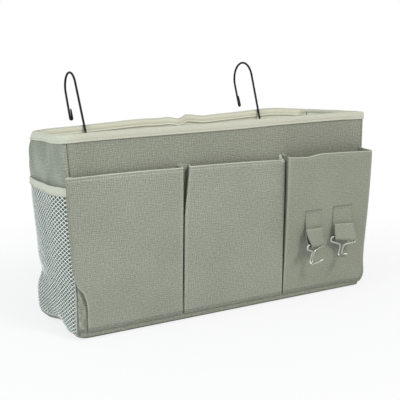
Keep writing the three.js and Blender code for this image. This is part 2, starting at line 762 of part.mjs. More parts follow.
const SIDES = ["left", "right"];
const HAIRPIN_TURNS = [LEFT_HAIRPIN_TURN, RIGHT_HAIRPIN_TURN];
SIDES.forEach((side, k) => {
  add(`eyelet_${side}`, "nickel", eyelet(), placed(HOOK_X[k], BACK_WALL_Y, EYELET_Z));
  const hook = placed(HOOK_X[k], HINGE_Y, HINGE_Z);
  hook.rotation.x = -hookLean();
  add(`hanging_hook_${side}`, "blackWire", wire(hookLine(HAIRPIN_TURNS[k]), HOOK_WIRE, WIRE_SIDES), hook);
});

const TABS = [
  {
    x: LENGTH / 2 - LEFT_TAB_IN,
    drop: LEFT_TAB_DROP,
    twist: LEFT_TAB_TWIST,
    lean: LEFT_TAB_LEAN,
    tilt: LEFT_TAB_TILT,
  },
  {
    x: LENGTH / 2 - RIGHT_TAB_IN,
    drop: RIGHT_TAB_DROP,
    twist: RIGHT_TAB_TWIST,
    lean: RIGHT_TAB_LEAN,
    tilt: RIGHT_TAB_TILT,
  },
];
SIDES.forEach((side, k) => {
  const { x, drop, twist, lean, tilt } = TABS[k];
  const z = POCKET_TOP - drop;
  const outermost = Math.min(rightPocketFace(x - TAB_WIDTH / 2, z), rightPocketFace(x + TAB_WIDTH / 2, z));
  const seat = placed(x, outermost - PLY_GAP, z);
  add(`tab_${side}`, "canvas", tab(twist, lean, tilt), seat);
  const line = keyLine();
  const hang = centroid(line);
  const hook = new THREE.Group();
  hook.position.set(0, -TAB_MIDDLE - lean, -TAB_LENGTH);
  hook.rotation.order = "ZYX";
  hook.rotation.z = THREE.MathUtils.degToRad(twist);
  hook.rotation.y = THREE.MathUtils.degToRad(tilt);
  hook.rotation.x = Math.atan2(-hang.y, -hang.z); // hangs with its weight below the bar
  seat.add(hook);
  add(`key_hook_${side}`, "nickel", wire(line, KEY_WIRE, KEY_WIRE_SIDES), hook);
});

export default caddy;
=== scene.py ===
# %% [markdown]
# # A canvas bedside caddy
# The real object is a sewn box: canvas over thin boards, cream tape along the rim, pleated pockets in front,
# a net on each end, and wire hooks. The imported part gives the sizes, and this script the soft, woven looks.

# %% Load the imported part
import bisect
import math
import bpy
from mathutils import Color, Matrix, Vector, noise


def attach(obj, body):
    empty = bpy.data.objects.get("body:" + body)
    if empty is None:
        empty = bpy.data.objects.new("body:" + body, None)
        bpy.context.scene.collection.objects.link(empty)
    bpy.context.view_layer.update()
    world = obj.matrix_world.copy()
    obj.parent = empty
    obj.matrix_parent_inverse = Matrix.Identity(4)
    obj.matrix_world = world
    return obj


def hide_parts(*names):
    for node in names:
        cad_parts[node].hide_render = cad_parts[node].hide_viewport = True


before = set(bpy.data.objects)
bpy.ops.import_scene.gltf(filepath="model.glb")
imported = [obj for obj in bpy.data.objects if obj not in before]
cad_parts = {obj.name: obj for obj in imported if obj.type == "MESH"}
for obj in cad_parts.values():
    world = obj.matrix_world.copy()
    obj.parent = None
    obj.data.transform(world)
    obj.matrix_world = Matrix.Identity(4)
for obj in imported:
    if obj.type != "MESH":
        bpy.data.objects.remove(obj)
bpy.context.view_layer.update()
MM = 0.001
SIDES = {"left": -1, "right": 1}

# %% [markdown]
# ## Camera
# The camera was found by fitting the box's straight edges to the photo. It is set first, so that every later
# choice can be judged in the same picture.


# %% Camera
def added(operator, name, **settings):
    """Runs an operator that adds an object, and names the object."""
    bpy.ops.object.select_all(action="DESELECT")
    operator(**settings)
    made = bpy.context.object
    made.name = made.data.name = name
    return made


def turned(*turns):
    """Turns in degrees, each about an axis that the earlier ones have turned."""
    made = Matrix.Identity(3)
    for degrees, axis in turns:
        made = made @ Matrix.Rotation(math.radians(degrees), 3, axis)
    return made


LENS, SHIFT = 75.3, 0.0012
CAMERA_AT = Vector((-502.2, -904.9, 340.1)) * MM
YAW, PITCH, ROLL = 28.74, 11.58, -0.96
camera = added(bpy.ops.object.camera_add, "camera")
camera.data.lens, camera.data.shift_y = LENS, SHIFT
aim = turned((-YAW, "Z"), (90 - PITCH, "X"), (ROLL, "Z"))
camera.matrix_world = Matrix.Translation(CAMERA_AT) @ aim.to_4x4()
bpy.context.scene.camera = camera
bpy.context.scene.view_settings.view_transform = "Standard"
print("camera at", [round(v, 3) for v in CAMERA_AT])

# %% [markdown]
# ## Floor, background and light
# A product picture has a white ground and soft light. The floor and the world are white to the camera and to
# shiny metal, and the lamps stay weak enough for a colour to render about as it is written. A little of the
# floor's own shading is left in as a contact shadow.


# %% Node helpers
def node(tree, kind, inputs=None, **settings):
    """Adds a shader node; an input that is a socket is linked, any other is set."""
    made = tree.nodes.new("ShaderNode" + kind)
    for key, value in settings.items():
        setattr(made, key, value)
    for key, value in (inputs or {}).items():
        if isinstance(value, bpy.types.NodeSocket):
            tree.links.new(value, made.inputs[key])
        else:
            made.inputs[key].default_value = value
    return made


def maths(tree, operation, a, b=0.0, clamp=False):
    return node(tree, "Math", {0: a, 1: b}, operation=operation, use_clamp=clamp).outputs[0]


def tone(*shown):
    """A colour as it is shown, from 0 to 255, turned into the linear light that shaders use."""
    return (*Color([c / 255 for c in shown]).from_srgb_to_scene_linear(), 1)


def emptied(owner):
    """The node tree of a material or a world, with nothing in it."""
    owner.use_nodes = True
    owner.node_tree.nodes.clear()
    return owner.node_tree


def seen_directly(tree):
    rays = node(tree, "LightPath").outputs
    shiny = maths(tree, "ADD", rays["Is Glossy Ray"], rays["Is Transmission Ray"])
    return maths(tree, "ADD", rays["Is Camera Ray"], shiny, clamp=True)


# %% World and floor
ROOM_LIGHT = 0.5
WHITE = (1, 1, 1, 1)
FLOOR_SHADE = 0.22  # share of its own shading seen near the caddy
SHADE_FULL, SHADE_GONE = 0.2, 0.6  # metres from the middle
FLOOR_SIZE, FLOOR_AT = 12, (0, 0, -0.0006)

world = bpy.data.worlds.new("white_room")
bpy.context.scene.world = world
tree = emptied(world)
room = node(tree, "Background", {"Color": tone(236, 240, 244), "Strength": ROOM_LIGHT})
ground = node(tree, "Background", {"Color": WHITE})
sky = node(tree, "MixShader", {0: seen_directly(tree), 1: room.outputs[0], 2: ground.outputs[0]})
node(tree, "OutputWorld", {"Surface": sky.outputs[0]})

floor = added(bpy.ops.mesh.primitive_plane_add, "floor", size=FLOOR_SIZE, location=FLOOR_AT)
white = bpy.data.materials.new("white_floor")
tree = emptied(white)
matt = node(tree, "BsdfDiffuse", {"Color": (0.9, 0.9, 0.9, 1)})
glow = node(tree, "Emission", {"Color": WHITE})
place = node(tree, "TexCoord").outputs["Object"]
away = node(tree, "VectorMath", {0: place}, operation="LENGTH").outputs["Value"]
bare = node(tree, "MapRange", {0: away, 1: SHADE_FULL, 2: SHADE_GONE, 3: 1 - FLOOR_SHADE}).outputs[0]
share = maths(tree, "MULTIPLY", seen_directly(tree), bare)
ground = node(tree, "MixShader", {0: share, 1: matt.outputs[0], 2: glow.outputs[0]})
node(tree, "OutputMaterial", {"Surface": ground.outputs[0]})
floor.data.materials.append(white)
print("floor", FLOOR_SIZE, "m wide")

# %% Lamps
LIT_MIDDLE = Vector((0, 0, 0.12))
LAMPS = {  # place, power, size and colour of square soft lamps that face the middle of the caddy
    "key_lamp": ((0.45, -1.6, 1.6), 20.8, 0.5, (1.0, 0.98, 0.93)),
    "left_lamp": ((-1.7, -0.35, 0.9), 17.5, 1.2, (0.83, 0.95, 1.0)),
}
for name, (at, power, size, colour) in LAMPS.items():
    lamp = added(bpy.ops.object.light_add, name, type="AREA", location=at)
    lamp.data.energy, lamp.data.size, lamp.data.color = power, size, colour
    lamp.rotation_euler = (LIT_MIDDLE - Vector(at)).to_track_quat("-Z", "Y").to_euler()
    print(name, power, "W")

# %% [markdown]
# ## Finishes
# One weave group serves every cloth, on the cloth's own UV map in metres. Waves alone would look printed, and
# plain noise blotchy. So noise is drawn out along the threads, and the same noise, moved aside by part of a
# thread, is taken away. That leaves thick and thin threads, and waves only add relief at the crossings.

# %% Weave group
THREAD_STEP = 0.6  # how far aside the second noise lies, in threads
DRAWN_OUT = (0.82, 0.13)  # scale of the noise across and along a thread
FLUFF_SCALE = 1.1
THREAD_CONTRAST, FLUFF_CONTRAST = 0.17, 0.22  # difference of two noises that counts as full
THREAD_SHARE, FLUFF_SHARE, KNOT_RELIEF = 0.39, 0.22, 0.3

weave = bpy.data.node_groups.new("weave", "ShaderNodeTree")
for way, label, kind in (("INPUT", "Cloth", "Vector"), ("INPUT", "Threads", "Float"),
                         ("OUTPUT", "Slub", "Float"), ("OUTPUT", "Height", "Float")):
    weave.interface.new_socket(label, in_out=way, socket_type=f"NodeSocket{kind}")
given, result = weave.nodes.new("NodeGroupInput").outputs, weave.nodes.new("NodeGroupOutput").inputs


def speckle(tree, place, scale, detail):
    return node(tree, "TexNoise", {"Vector": place, "Scale": scale, "Detail": detail}).outputs["Fac"]


def times(a, b):
    return maths(weave, "MULTIPLY", a, b)


def streaks(across, along, contrast):
    """Noise drawn out along the cloth, less the same noise a little aside."""
    scales = {0: times(given["Threads"], across), 1: times(given["Threads"], along), 2: 1.0}
    scale = node(weave, "CombineXYZ", scales).outputs[0]
    drawn = node(weave, "VectorMath", {0: given["Cloth"], 1: scale}, operation="MULTIPLY").outputs[0]
    beside = (THREAD_STEP, 0, 0) if across > along else (0, THREAD_STEP, 0)
    moved = node(weave, "VectorMath", {0: drawn, 1: beside}, operation="ADD").outputs[0]
    change = maths(weave, "SUBTRACT", speckle(weave, drawn, 1.0, 1.0), speckle(weave, moved, 1.0, 1.0))
    return node(weave, "MapRange", {0: change, 1: -contrast, 2: contrast}).outputs[0]


warp, weft = (streaks(*scales, THREAD_CONTRAST) for scales in (DRAWN_OUT, DRAWN_OUT[::-1]))
fluff = streaks(FLUFF_SCALE, FLUFF_SCALE, FLUFF_CONTRAST)
threads = times(maths(weave, "ADD", warp, weft), THREAD_SHARE)
slub = maths(weave, "ADD", threads, times(fluff, FLUFF_SHARE))
axes = node(weave, "SeparateXYZ", {0: given["Cloth"]}).outputs
turns = times(given["Threads"], math.pi)
over, under = (maths(weave, "SINE", times(axes[k], turns)) for k in (0, 1))
knots = times(times(over, under), KNOT_RELIEF)
weave.links.new(slub, result["Slub"])
weave.links.new(maths(weave, "ADD", knots, slub), result["Height"])
print("weave group of", len(weave.nodes), "nodes")

# %% [markdown]
# A cloth's colour runs from its darkest to its palest thread. Two marks that each cloth carries on its points
# change it, and both stand for light: the crease mark is painted shade, which darkens seams, tucks, folds,
# the bag's lower edge and the cloth behind the nets, where shade falls, and the other mark is painted light,
# which pales edges and patches that catch the light.

# %% Cloth finishes
PATCH_SCALE, PATCH_SHARE = 14.0, 0.22  # uneven dye, to the metre
LIGHT_TONE, SHADE_TONE, SHADE_MOST = 1.16, 0.45, 0.7  # tone of painted light and of painted shade, and the most of the latter
CLOTH_SHINE, CLOTH_DEPTH, WIRE_DEPTH = 0.2, 0.0006, 0.0001


def mixed(tree, share, a, b):
    return node(tree, "Mix", {0: share, 6: a, 7: b}, data_type="RGBA").outputs[2]


def surface(tree, height, relief, depth, looks):
    """Ends a material: the height becomes a bump, and the shader takes the other looks."""
    bump = node(tree, "Bump", {"Height": height, "Strength": relief, "Distance": depth})
    skin = node(tree, "BsdfPrincipled", {**looks, "Normal": bump.outputs[0]})
    node(tree, "OutputMaterial", {"Surface": skin.outputs[0]})
    print("finish of", len(tree.nodes), "nodes")


def cloth_finish(name, thin, thick, threads, relief, rough, sheen):
    """A cloth with the colours of its darkest and palest thread and its threads to the metre."""
    made = bpy.data.materials.new(name)
    tree = emptied(made)
    cut = node(tree, "UVMap").outputs[0]
    woven = node(tree, "Group", {"Cloth": cut, "Threads": threads}, node_tree=weave).outputs
    patch = speckle(tree, node(tree, "TexCoord").outputs["Object"], PATCH_SCALE, 3.0)
    dye = maths(tree, "ADD", maths(tree, "MULTIPLY", woven["Slub"], 1 - PATCH_SHARE),
                maths(tree, "MULTIPLY", patch, PATCH_SHARE))
    dyed = mixed(tree, dye, tone(*thin), tone(*thick))
    # the crease mark is painted shade, and the other mark is painted light
    crease, lit_mark = (node(tree, "Attribute", attribute_name=mark).outputs["Fac"]
                      for mark in ("crease", "painted_light"))
    highlighted = mixed(tree, lit_mark, dyed, tone(*[min(c * LIGHT_TONE, 255) for c in thick]))
    dark = maths(tree, "MULTIPLY", crease, SHADE_MOST)
    shaded = mixed(tree, dark, highlighted, tone(*[c * SHADE_TONE for c in thin]))
    dull = node(tree, "MapRange", {0: woven["Slub"], 3: rough, 4: rough - 0.1}).outputs[0]
    surface(tree, woven["Height"], relief, CLOTH_DEPTH, {
        "Base Color": shaded, "Roughness": dull, "Sheen Weight": sheen, "Specular IOR Level": CLOTH_SHINE})
    return made


canvas = cloth_finish("canvas", (107, 109, 96), (189, 191, 176), 1050, 0.5, 0.95, 0.05)
stiff_canvas = cloth_finish("stiff_canvas", (97, 99, 85), (182, 184, 168), 1050, 0.5, 0.95, 0.04)
smooth_canvas = cloth_finish("smooth_canvas", (114, 116, 102), (178, 181, 165), 1150, 0.5, 0.95, 0.04)
lining = cloth_finish("lining", (220, 220, 205), (246, 245, 231), 1500, 0.3, 0.95, 0.05)
tape = cloth_finish("tape", (188, 187, 169), (219, 217, 200), 1700, 0.4, 0.9, 0.05)
netting = cloth_finish("netting", (240, 243, 236), (253, 254, 250), 3000, 0.3, 0.75, 0.05)
thread = cloth_finish("thread", (164, 166, 152), (194, 196, 181), 4000, 0.3, 0.85, 0.0)
pale_thread = cloth_finish("pale_thread", (196, 198, 184), (216, 217, 204), 4000, 0.3, 0.85, 0.0)

# %% [markdown]
# Metal needs little colour and much surface: a fine grain, and an uneven gloss from handling. Grey board is
# made the same way, without the metal.

# %% Metal and board finishes
GRAIN_SCALE = 2500.0  # to the metre
GLOSS_SPREAD = 0.16  # how much rougher the dull patches are


def metal_finish(name, dark, light, metallic, rough, patch_scale, relief, shine=0.5):
    made = bpy.data.materials.new(name)
    tree = emptied(made)
    place = node(tree, "TexCoord").outputs["Object"]
    patch = speckle(tree, place, patch_scale, 4.0)
    gloss = node(tree, "MapRange", {0: patch, 1: 0.3, 2: 0.7, 3: rough, 4: rough + GLOSS_SPREAD})
    surface(tree, speckle(tree, place, GRAIN_SCALE, 2.0), relief, WIRE_DEPTH, {
        "Base Color": mixed(tree, patch, tone(*dark), tone(*light)), "Metallic": metallic,
        "Roughness": gloss.outputs[0], "Specular IOR Level": shine})
    return made


black_wire = metal_finish("black_wire", (6, 6, 7), (16, 16, 17), 0.0, 0.45, 220.0, 0.15, 0.2)
nickel = metal_finish("nickel", (168, 168, 158), (208, 207, 198), 0.75, 0.2, 320.0, 0.1)
grey_board = metal_finish("grey_board", (150, 132, 102), (176, 158, 126), 0.0, 0.8, 90.0, 0.5)

# %% [markdown]
# ## A sheet of cloth
# Cloth is cut flat and then takes a shape. So does the helper's grid: each point gets its place on the caddy,
# and the flat cut stays in the UV map, so that the weave follows the cloth. Solidify gives the thickness, on
# the inner side. Every piece is at last tied to its body, and the solids that it stands for are hidden.


# %% Cloth helper
def edit_all():
    """Opens the active piece for editing, with all of it selected."""
    bpy.ops.object.mode_set(mode="EDIT")
    bpy.ops.mesh.select_all(action="SELECT")


def merge(gap=0.001 * MM, outward=True):
    """Merges the active piece's doubled points, and turns its faces outward by default."""
    edit_all()
    bpy.ops.mesh.remove_doubles(threshold=gap)
    if outward:
        bpy.ops.mesh.normals_make_consistent()
    bpy.ops.object.mode_set(mode="OBJECT")


def cloth(name, across, up, place, finish, thickness, crease=None, painted_light=None, closed=False):
    """A grid over the flat cut; place(i, j) is a grid point in the part, both in millimetres."""
    columns, rows = len(across) - 1, len(up) - 1
    piece = added(bpy.ops.mesh.primitive_grid_add, name, x_subdivisions=columns, y_subdivisions=rows, size=1)
    mesh = piece.data
    spots = [(round((v.co.x + 0.5) * columns), round((v.co.y + 0.5) * rows)) for v in mesh.vertices]
    for label, amount in (("crease", crease), ("painted_light", painted_light)):
        marks = mesh.attributes.new(label, "FLOAT", "POINT")
        for mark, (i, j) in zip(marks.data, spots):
            mark.value = amount(i, j) if amount else 0.0
    for vertex, (i, j) in zip(mesh.vertices, spots):
        vertex.co = Vector(place(i, j)) * MM
    for loop, corner in zip(mesh.loops, mesh.uv_layers.active.data):
        i, j = spots[loop.vertex_index]
        corner.uv = (across[i] * MM, up[j] * MM)
    if closed:
        merge(0.02 * MM, outward=False)
    wall = piece.modifiers.new("thickness", "SOLIDIFY")
    wall.thickness = thickness * MM
    wall.offset = -1
    bpy.ops.object.modifier_apply(modifier=wall.name)
    bpy.ops.object.shade_smooth_by_angle(angle=math.radians(50))
    mesh.materials.append(finish)
    return piece


def dress(piece, body, slot, *nodes):
    """Ties a piece to the body that carries it and hides the solids that it stands for; the slot is not used.
    """
    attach(piece, body)
    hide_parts(*nodes)
    print(piece.name, "on", body, "with", len(piece.data.vertices), "points")


# %% Smooth shapes
def blend(a, b, t):
    return a + (b - a) * t


def ramp(at, start, stop):
    """0 up to the start, 1 from the stop on, and a smooth slope between them."""
    t = min(max((at - start) / (stop - start), 0.0), 1.0)
    return t * t * (3 - 2 * t)


def hill(at, middle, width):
    """A smooth bump of height 1."""
    return math.exp(-((at - middle) / width) ** 2)


def ripple(x, y, z, scale, seed=0.0):
    """Smooth unevenness from about -1 to 1, with hollows scale millimetres apart."""
    return noise.noise(Vector((x, y, z)) / scale + Vector((seed, 0, 0)))


def curve(points):
    """A smooth function through (x, value) pairs."""
    xs, vs = zip(*points)
    last = len(points) - 1
    near = [(max(k - 1, 0), min(k + 1, last)) for k in range(last + 1)]
    slopes = [(vs[b] - vs[a]) / (xs[b] - xs[a]) for a, b in near]

    def value(x):
        k = min(max(bisect.bisect(xs, x), 1), last)
        width = xs[k] - xs[k - 1]
        t = min(max((x - xs[k - 1]) / width, 0), 1)
        bow = t * (1 - t) * width * (slopes[k - 1] * (1 - t) - slopes[k] * t)
        rest = (vs[k] - vs[k - 1]) * t * (1 - t) * (1 - 2 * t)
        return blend(vs[k - 1], vs[k], t) + bow - rest
    return value


def shares(steps):
    """0 to 1 in equal steps."""
    return [k / steps for k in range(steps + 1)]


def lengths(points):
    """Distance along a line to each of its points."""
    run = [0.0]
    for a, b in zip(points, points[1:]):
        run.append(run[-1] + math.dist(a, b))
    return run


# %% [markdown]
# ## The box's walls
# The walls and the base are one sewn bag. Boards keep its front and back flat, but its ends are only cloth:
# they belly out, and their lower edges pull up. The rim stands higher in front, and the back wall has a kink
# where it was folded for packing. One set of functions places every ply, so that they keep together.

# %% Plan of the box
LENGTH, DEPTH, HEIGHT = 400, 120, 230
END_X, FACE_Y = LENGTH / 2, DEPTH / 2
CORNER = 4
FACE_WALL, END_WALL, WALL_TOP = 4.4, 2.1, 228.7
# columns of a wall, with two close ones at each upright seam of the long walls
FACE_SHARES = [0, 0.0023] + shares(56)[1:-1] + [0.9977, 1]
END_SHARES = shares(24)
CORNER_STEPS = 5


def ring(end, face):
    """Plan of a wall, inset from its outer face, anticlockwise from the front left seam to itself."""
    x, y = END_X - end, FACE_Y - face
    r = min(max(CORNER - max(end, face), 1), y)
    centres = [(a * (x - r), b * (y - r)) for a, b in ((-1, -1), (1, -1), (1, 1), (-1, 1), (-1, -1))]
    plan = []

    def add(centre, angle):
        plan.append((centre[0] + r * math.cos(angle), centre[1] + r * math.sin(angle)))

    for k, places in enumerate((FACE_SHARES, END_SHARES, FACE_SHARES, END_SHARES)):
        start, stop = centres[k], centres[k + 1]
        facing = math.pi / 2 * (k - 1)
        for t in places:
            add((blend(start[0], stop[0], t), blend(start[1], stop[1], t)), facing)
        for t in shares(CORNER_STEPS)[1:-1]:
            add(stop, facing + math.pi / 2 * t)
    return plan + plan[:1]


RIM_RUN = lengths(ring(0, 0))
print("girth", round(RIM_RUN[-1]), "mm in", len(RIM_RUN), "columns")

# %% Slack and folds of the box
front_rise = curve([(-205, 1.6), (-175, 2.8), (16, 2.6), (73, 3.4), (171, 3.3), (203, 2.1)])
back_rise = curve([
    (-203, -4.2), (-133, -2.4), (-57, 0.2), (-33, -0.5), (-19, 0.2), (-8, -2.2), (-2, -1.4), (7, 1.6),
    (16, 0.6), (25, -0.8), (36, -1.5), (48, -0.7), (60, -0.4), (92, 0.7), (143, 2), (203, -3.2)])
back_kink = curve([(-60, 0), (-24, -1.2), (-8, -4.6), (10, 1.6), (50, 0), (80, 0)])
left_slack = curve([
    (0, 1), (12, 2.9), (35, 2.8), (50, 0.4), (57, -0.3), (75, -0.2), (100, 0.8), (140, 3.2), (165, 4),
    (180, 5), (197, 7.4), (205, 8.2), (213, 7.6), (222, 4.6), (230, 1.4), (236, 0)])
left_edge = curve([
    (0, 0), (20, -0.5), (60, -1.6), (120, 0), (170, 1.2), (185, 2), (215, 4.6), (236, 5)])
right_slack = curve([(0, 1.5), (8, 3.6), (20, 3.8), (100, 2.8), (185, 4.2), (215, 4.9), (236, 4.9)])
END_BOW, END_BOW_LEVEL = 5, 0.62  # how far an end bellies out, and from which share of the height
END_GIVE, LEFT_GIVE, RIGHT_GIVE = 8, 30, 25  # how far in the slack of an end is felt
FOOT_LIFTS = {  # where an end's lower edge pulls up: how far, middle and width in the depth, height
    -1: [(7.2, -3, 24, 40), (3.6, -52, 16, 20)],
    1: [(3.5, -3, 24, 40)],
}
LIFT_PULL = 0.45  # how far a lifted edge also comes in
END_WAVE, WALL_WAVE, FLAT_WAVE = 0.9, 0.25, 0.35
DENT, DENT_LEVEL, DENT_TALL = 3.2, 56, 11  # hollow low in the back of the left end
SLACK_OUT, SLACK_BACK = 0.9, 0.42  # the left end's slack goes outward and to the back
SOFT_CORNER, SOFT_FROM, SOFT_FULL = {-1: 14, 1: 24}, 180, 220  # rounding of the left corners, front and back


def softened(x, y, z):
    """Rounds the left corners near the rim: squares about the corner's centre become circles."""
    soft = SOFT_CORNER[-1 if y < 0 else 1]
    over_x, over_y = -x - (END_X - soft), abs(y) - (FACE_Y - soft)
    if over_x <= 0 or over_y <= 0 or z < SOFT_FROM:
        return x, y
    share = blend(1, max(over_x, over_y) / math.hypot(over_x, over_y), ramp(z, SOFT_FROM, SOFT_FULL))
    return soft - END_X - over_x * share, math.copysign(FACE_Y - soft + over_y * share, y)


def made_up(x, y, z):
    """Where a point of the plain box lies in the sewn one."""
    side = -1 if x < 0 else 1
    x, y = softened(x, y, z)
    flank = max(1 - (2 * y / DEPTH) ** 2, 0)
    bow = END_BOW * flank * math.sin(math.pi / 2 * min(max(z / (END_BOW_LEVEL * HEIGHT), 0), 1))
    inward = END_X - min(abs(x), END_X)
    near_end = hill(inward, 0, END_GIVE)
    lift = sum(far * hill(y, middle, wide) * near_end * max(1 - max(z, 0) / tall, 0) ** 2
               for far, middle, wide, tall in FOOT_LIFTS[side])
    top = blend(front_rise(x), back_rise(x), min(max((y + FACE_Y) / DEPTH, 0), 1))
    wave = END_WAVE * near_end * flank * ripple(x, y * 1.6, z * 0.55, 38, 3.0)
    wave += WALL_WAVE * ripple(x, y, z, 60)
    reach = abs(x) + bow * near_end - LIFT_PULL * lift + wave * near_end
    out_y = y + ramp(y, 30, 60) * back_kink(x) * ramp(z, 90, 220) + (1 - near_end) * FLAT_WAVE * wave
    if side < 0:
        dent = DENT * hill(z, DENT_LEVEL, DENT_TALL) * ramp(y, 25, 55)
        slack = (left_slack(z) * ramp(y, -10, 50) - dent) * near_end
        reach += SLACK_OUT * slack + left_edge(z) * ramp(y, 0, -45) * hill(inward, 0, LEFT_GIVE)
        out_y += SLACK_BACK * slack
    else:
        reach += right_slack(z) * ramp(y, 30, -50) * hill(inward, 0, RIGHT_GIVE)
    return Vector((side * reach, out_y, z + lift + ramp(z, 120, 225) * top))


# %% Canvas bag
# rows of the bag, from the middle of the floor to the rim: inset and height
BAG_ROWS = [(60, 0), (45, 0), (30, 0), (16, 0), (8, 0), (4.5, 0), (3, 0), (1.5, 0.4), (0.4, 1.5), (0, 3)]
BAG_ROWS += [(0, z) for z in (5, 8, 12, 17, 23)] + [(0, blend(30, WALL_TOP, t)) for t in shares(32)]
FRONT_RIGHT = len(FACE_SHARES) - 1
HALF_RING = len(RIM_RUN) // 2
UPRIGHT_SEAMS = {0, FRONT_RIGHT, HALF_RING, HALF_RING + FRONT_RIGHT, 2 * HALF_RING}
NET_FOOT, NET_TOP, NET_TAPE = 6, 172, 9  # levels of a net's lower and upper edge, and width of its tape
NET_SHADE = 0.55  # the cloth behind a net stays in its shade
FOOT_SHADE, SEAM_SHADE, RIGHT_SEAM_SHADE = 0.7, 0.9, 0.4
END_SHADE_PATCHES, END_LIGHT_PATCHES = 0.24, 0.34  # painted shade and painted light in patches, where the loose cloth of the ends takes the light unevenly


def bag(name, rows, extra_end, extra_face, finish, thickness, groove):
    """Floor and walls in one sheet; a row is (inset, height), a groove draws the seams in."""
    plans = [ring(inset + extra_end, min(inset + extra_face, FACE_Y)) for inset, _ in rows]

    def place(i, j):
        (x, y), z = plans[j][i], rows[j][1]
        if i in UPRIGHT_SEAMS and z > 3:
            x, y = x * (1 - groove / END_X), y * (1 - groove / FACE_Y)
        return made_up(x, y, z)

    def on_end(i, j):
        return groove and abs(plans[j][i][0]) > END_X - 0.5

    def blotch(i, j):
        return ripple(*plans[j][i], rows[j][1] * 0.45, 15, 80.0)

    def crease(i, j):
        inset, z = rows[j]
        if groove and z < 2 and inset < 4:
            return FOOT_SHADE
        if groove and i in UPRIGHT_SEAMS and z > 3:
            return RIGHT_SEAM_SHADE if i == FRONT_RIGHT else SEAM_SHADE
        if not on_end(i, j):
            return 0.0
        return NET_SHADE if NET_FOOT < z < NET_TOP - NET_TAPE + 1 else END_SHADE_PATCHES * max(-blotch(i, j), 0)

    def painted_light(i, j):
        return END_LIGHT_PATCHES * max(blotch(i, j) + 0.05, 0) if on_end(i, j) else 0.0

    across = lengths(ring(extra_end, extra_face))
    return cloth(name, across, lengths(rows), place, finish, thickness, crease, painted_light, closed=True)


body_cloth = bag("canvas_body", BAG_ROWS, 0, 0, stiff_canvas, 1.0, 0.8)
dress(body_cloth, "caddy", "canvas",
      "front_panel", "back_panel", "left_side_panel", "right_side_panel", "bottom_panel")

# %% Lining
FLOOR_LINING, LINING_CLOTH = 4.1, 0.8
lining_rows = [(max(inset - 2.5, 0) if z == 0 else inset, z + FLOOR_LINING) for inset, z in BAG_ROWS]
lining_rows = [(inset, min(z, WALL_TOP)) for inset, z in lining_rows if z < WALL_TOP + 4]
inner_cloth = bag("lining_bag", lining_rows, END_WALL - LINING_CLOTH, FACE_WALL - LINING_CLOTH, lining,
                  LINING_CLOTH, 0.0)
dress(inner_cloth, "caddy", "lining",
      "lining_front", "lining_back", "lining_left", "lining_right", "lining_floor")

# %% [markdown]
# The boards are hidden between canvas and lining. Each is a cube scaled to a plate, cut up and moved with the
# same functions, so that the back one follows the kink. The base one stops short of the lifted ends.


# %% Boards
def board_piece(name, low, high, cuts, solid):
    low, high = Vector(low), Vector(high)
    piece = added(bpy.ops.mesh.primitive_cube_add, name, size=1, location=(low + high) / 2 * MM,
                  scale=(high - low) * MM)
    bpy.ops.object.transform_apply()
    edit_all()
    bpy.ops.mesh.subdivide(number_cuts=cuts)
    bpy.ops.object.mode_set(mode="OBJECT")
    for vertex in piece.data.vertices:
        vertex.co = made_up(*(vertex.co / MM)) * MM
    piece.data.materials.append(grey_board)
    dress(piece, "caddy", "board", solid)


board_piece("stiff_front_board", (-192, -58.5, 2), (192, -56.9, 227.5), 24, "front_board")
board_piece("kinked_back_board", (-192, 56.9, 2), (192, 58.5, 227.5), 24, "back_board")
board_piece("floor_board", (-182, -55, 1.6), (182, 55, 3.6), 12, "base_board")

# %% [markdown]
# ## Tape on the rim
# Cream tape is folded over the raw edge of the wall and sewn through. A shallow trough near its lower edge
# takes the stitches, and the folded-in edge below makes a small ridge. At the right end the inner leg is
# narrow, as the photo shows.

# %% Rim tape
TAPE_LOW, TAPE_TOP, TAPE_SHOULDER = 220.5, 230, 227.6
TAPE_WIDTH, TAPE_CLOTH, RIM_OUT = 27, 0.9, 1.3
TAPE_LEG = [(0, 0.0), (0.25, 0.35), (0.9, 0.45), (1.5, 0.3), (2.0, -0.25), (2.5, -0.2), (3.2, 0.15), (5, 0.2),
            (6.6, 0.1)]  # height over the lower edge, and ridge
TAPE_TROUGH = 4  # row of the leg that takes the stitches
NARROW_LEG = 0.75  # how much shorter the inner leg is at the right end
# the tape's slack, and how much painted light pales its inner leg
RIM_SLACK, INSIDE_LIGHT = 0.35, 0.6


def tape_section():
    """(share across the wall from outside to inside, height, ridge) down the tape's width."""
    outer = [(0, TAPE_LOW + height, ridge) for height, ridge in TAPE_LEG]
    over = [((1 - math.cos(a)) / 2, TAPE_SHOULDER + (TAPE_TOP - TAPE_SHOULDER) * math.sin(a), 0.0)
            for a in (math.pi * t for t in shares(8))]
    return outer + over + [(1, z, ridge) for _, z, ridge in reversed(outer)]


TAPE_ROWS = tape_section()
RIM_PLANS = [ring(*(blend(-RIM_OUT, wall + RIM_OUT, share) for wall in (END_WALL, FACE_WALL)))
             for share, _, _ in TAPE_ROWS]
tape_up = [TAPE_WIDTH * t for t in shares(len(TAPE_ROWS) - 1)]


def rim_point(i, j):
    share, z, ridge = TAPE_ROWS[j]
    x, y = RIM_PLANS[j][i]
    if share == 1:
        z = blend(z, blend(z, TAPE_SHOULDER, NARROW_LEG), ramp(x, 185, 199))
    point = made_up(x, y, z)
    out = Vector((x / END_X, y / FACE_Y, 0)).normalized()
    if abs(y) > FACE_Y - 7 and abs(x) < END_X - 7:
        out = Vector((0, math.copysign(1, y), 0))
    slack = RIM_SLACK * ripple(point.x, point.y, z * 0.3, 22, 9.0)
    on_leg = z < TAPE_SHOULDER
    point += out * (ridge + 0.5 * slack * on_leg) * (1 if share < 0.5 else -1)
    point.z += slack * (0.5 if on_leg else 0.8)
    return point


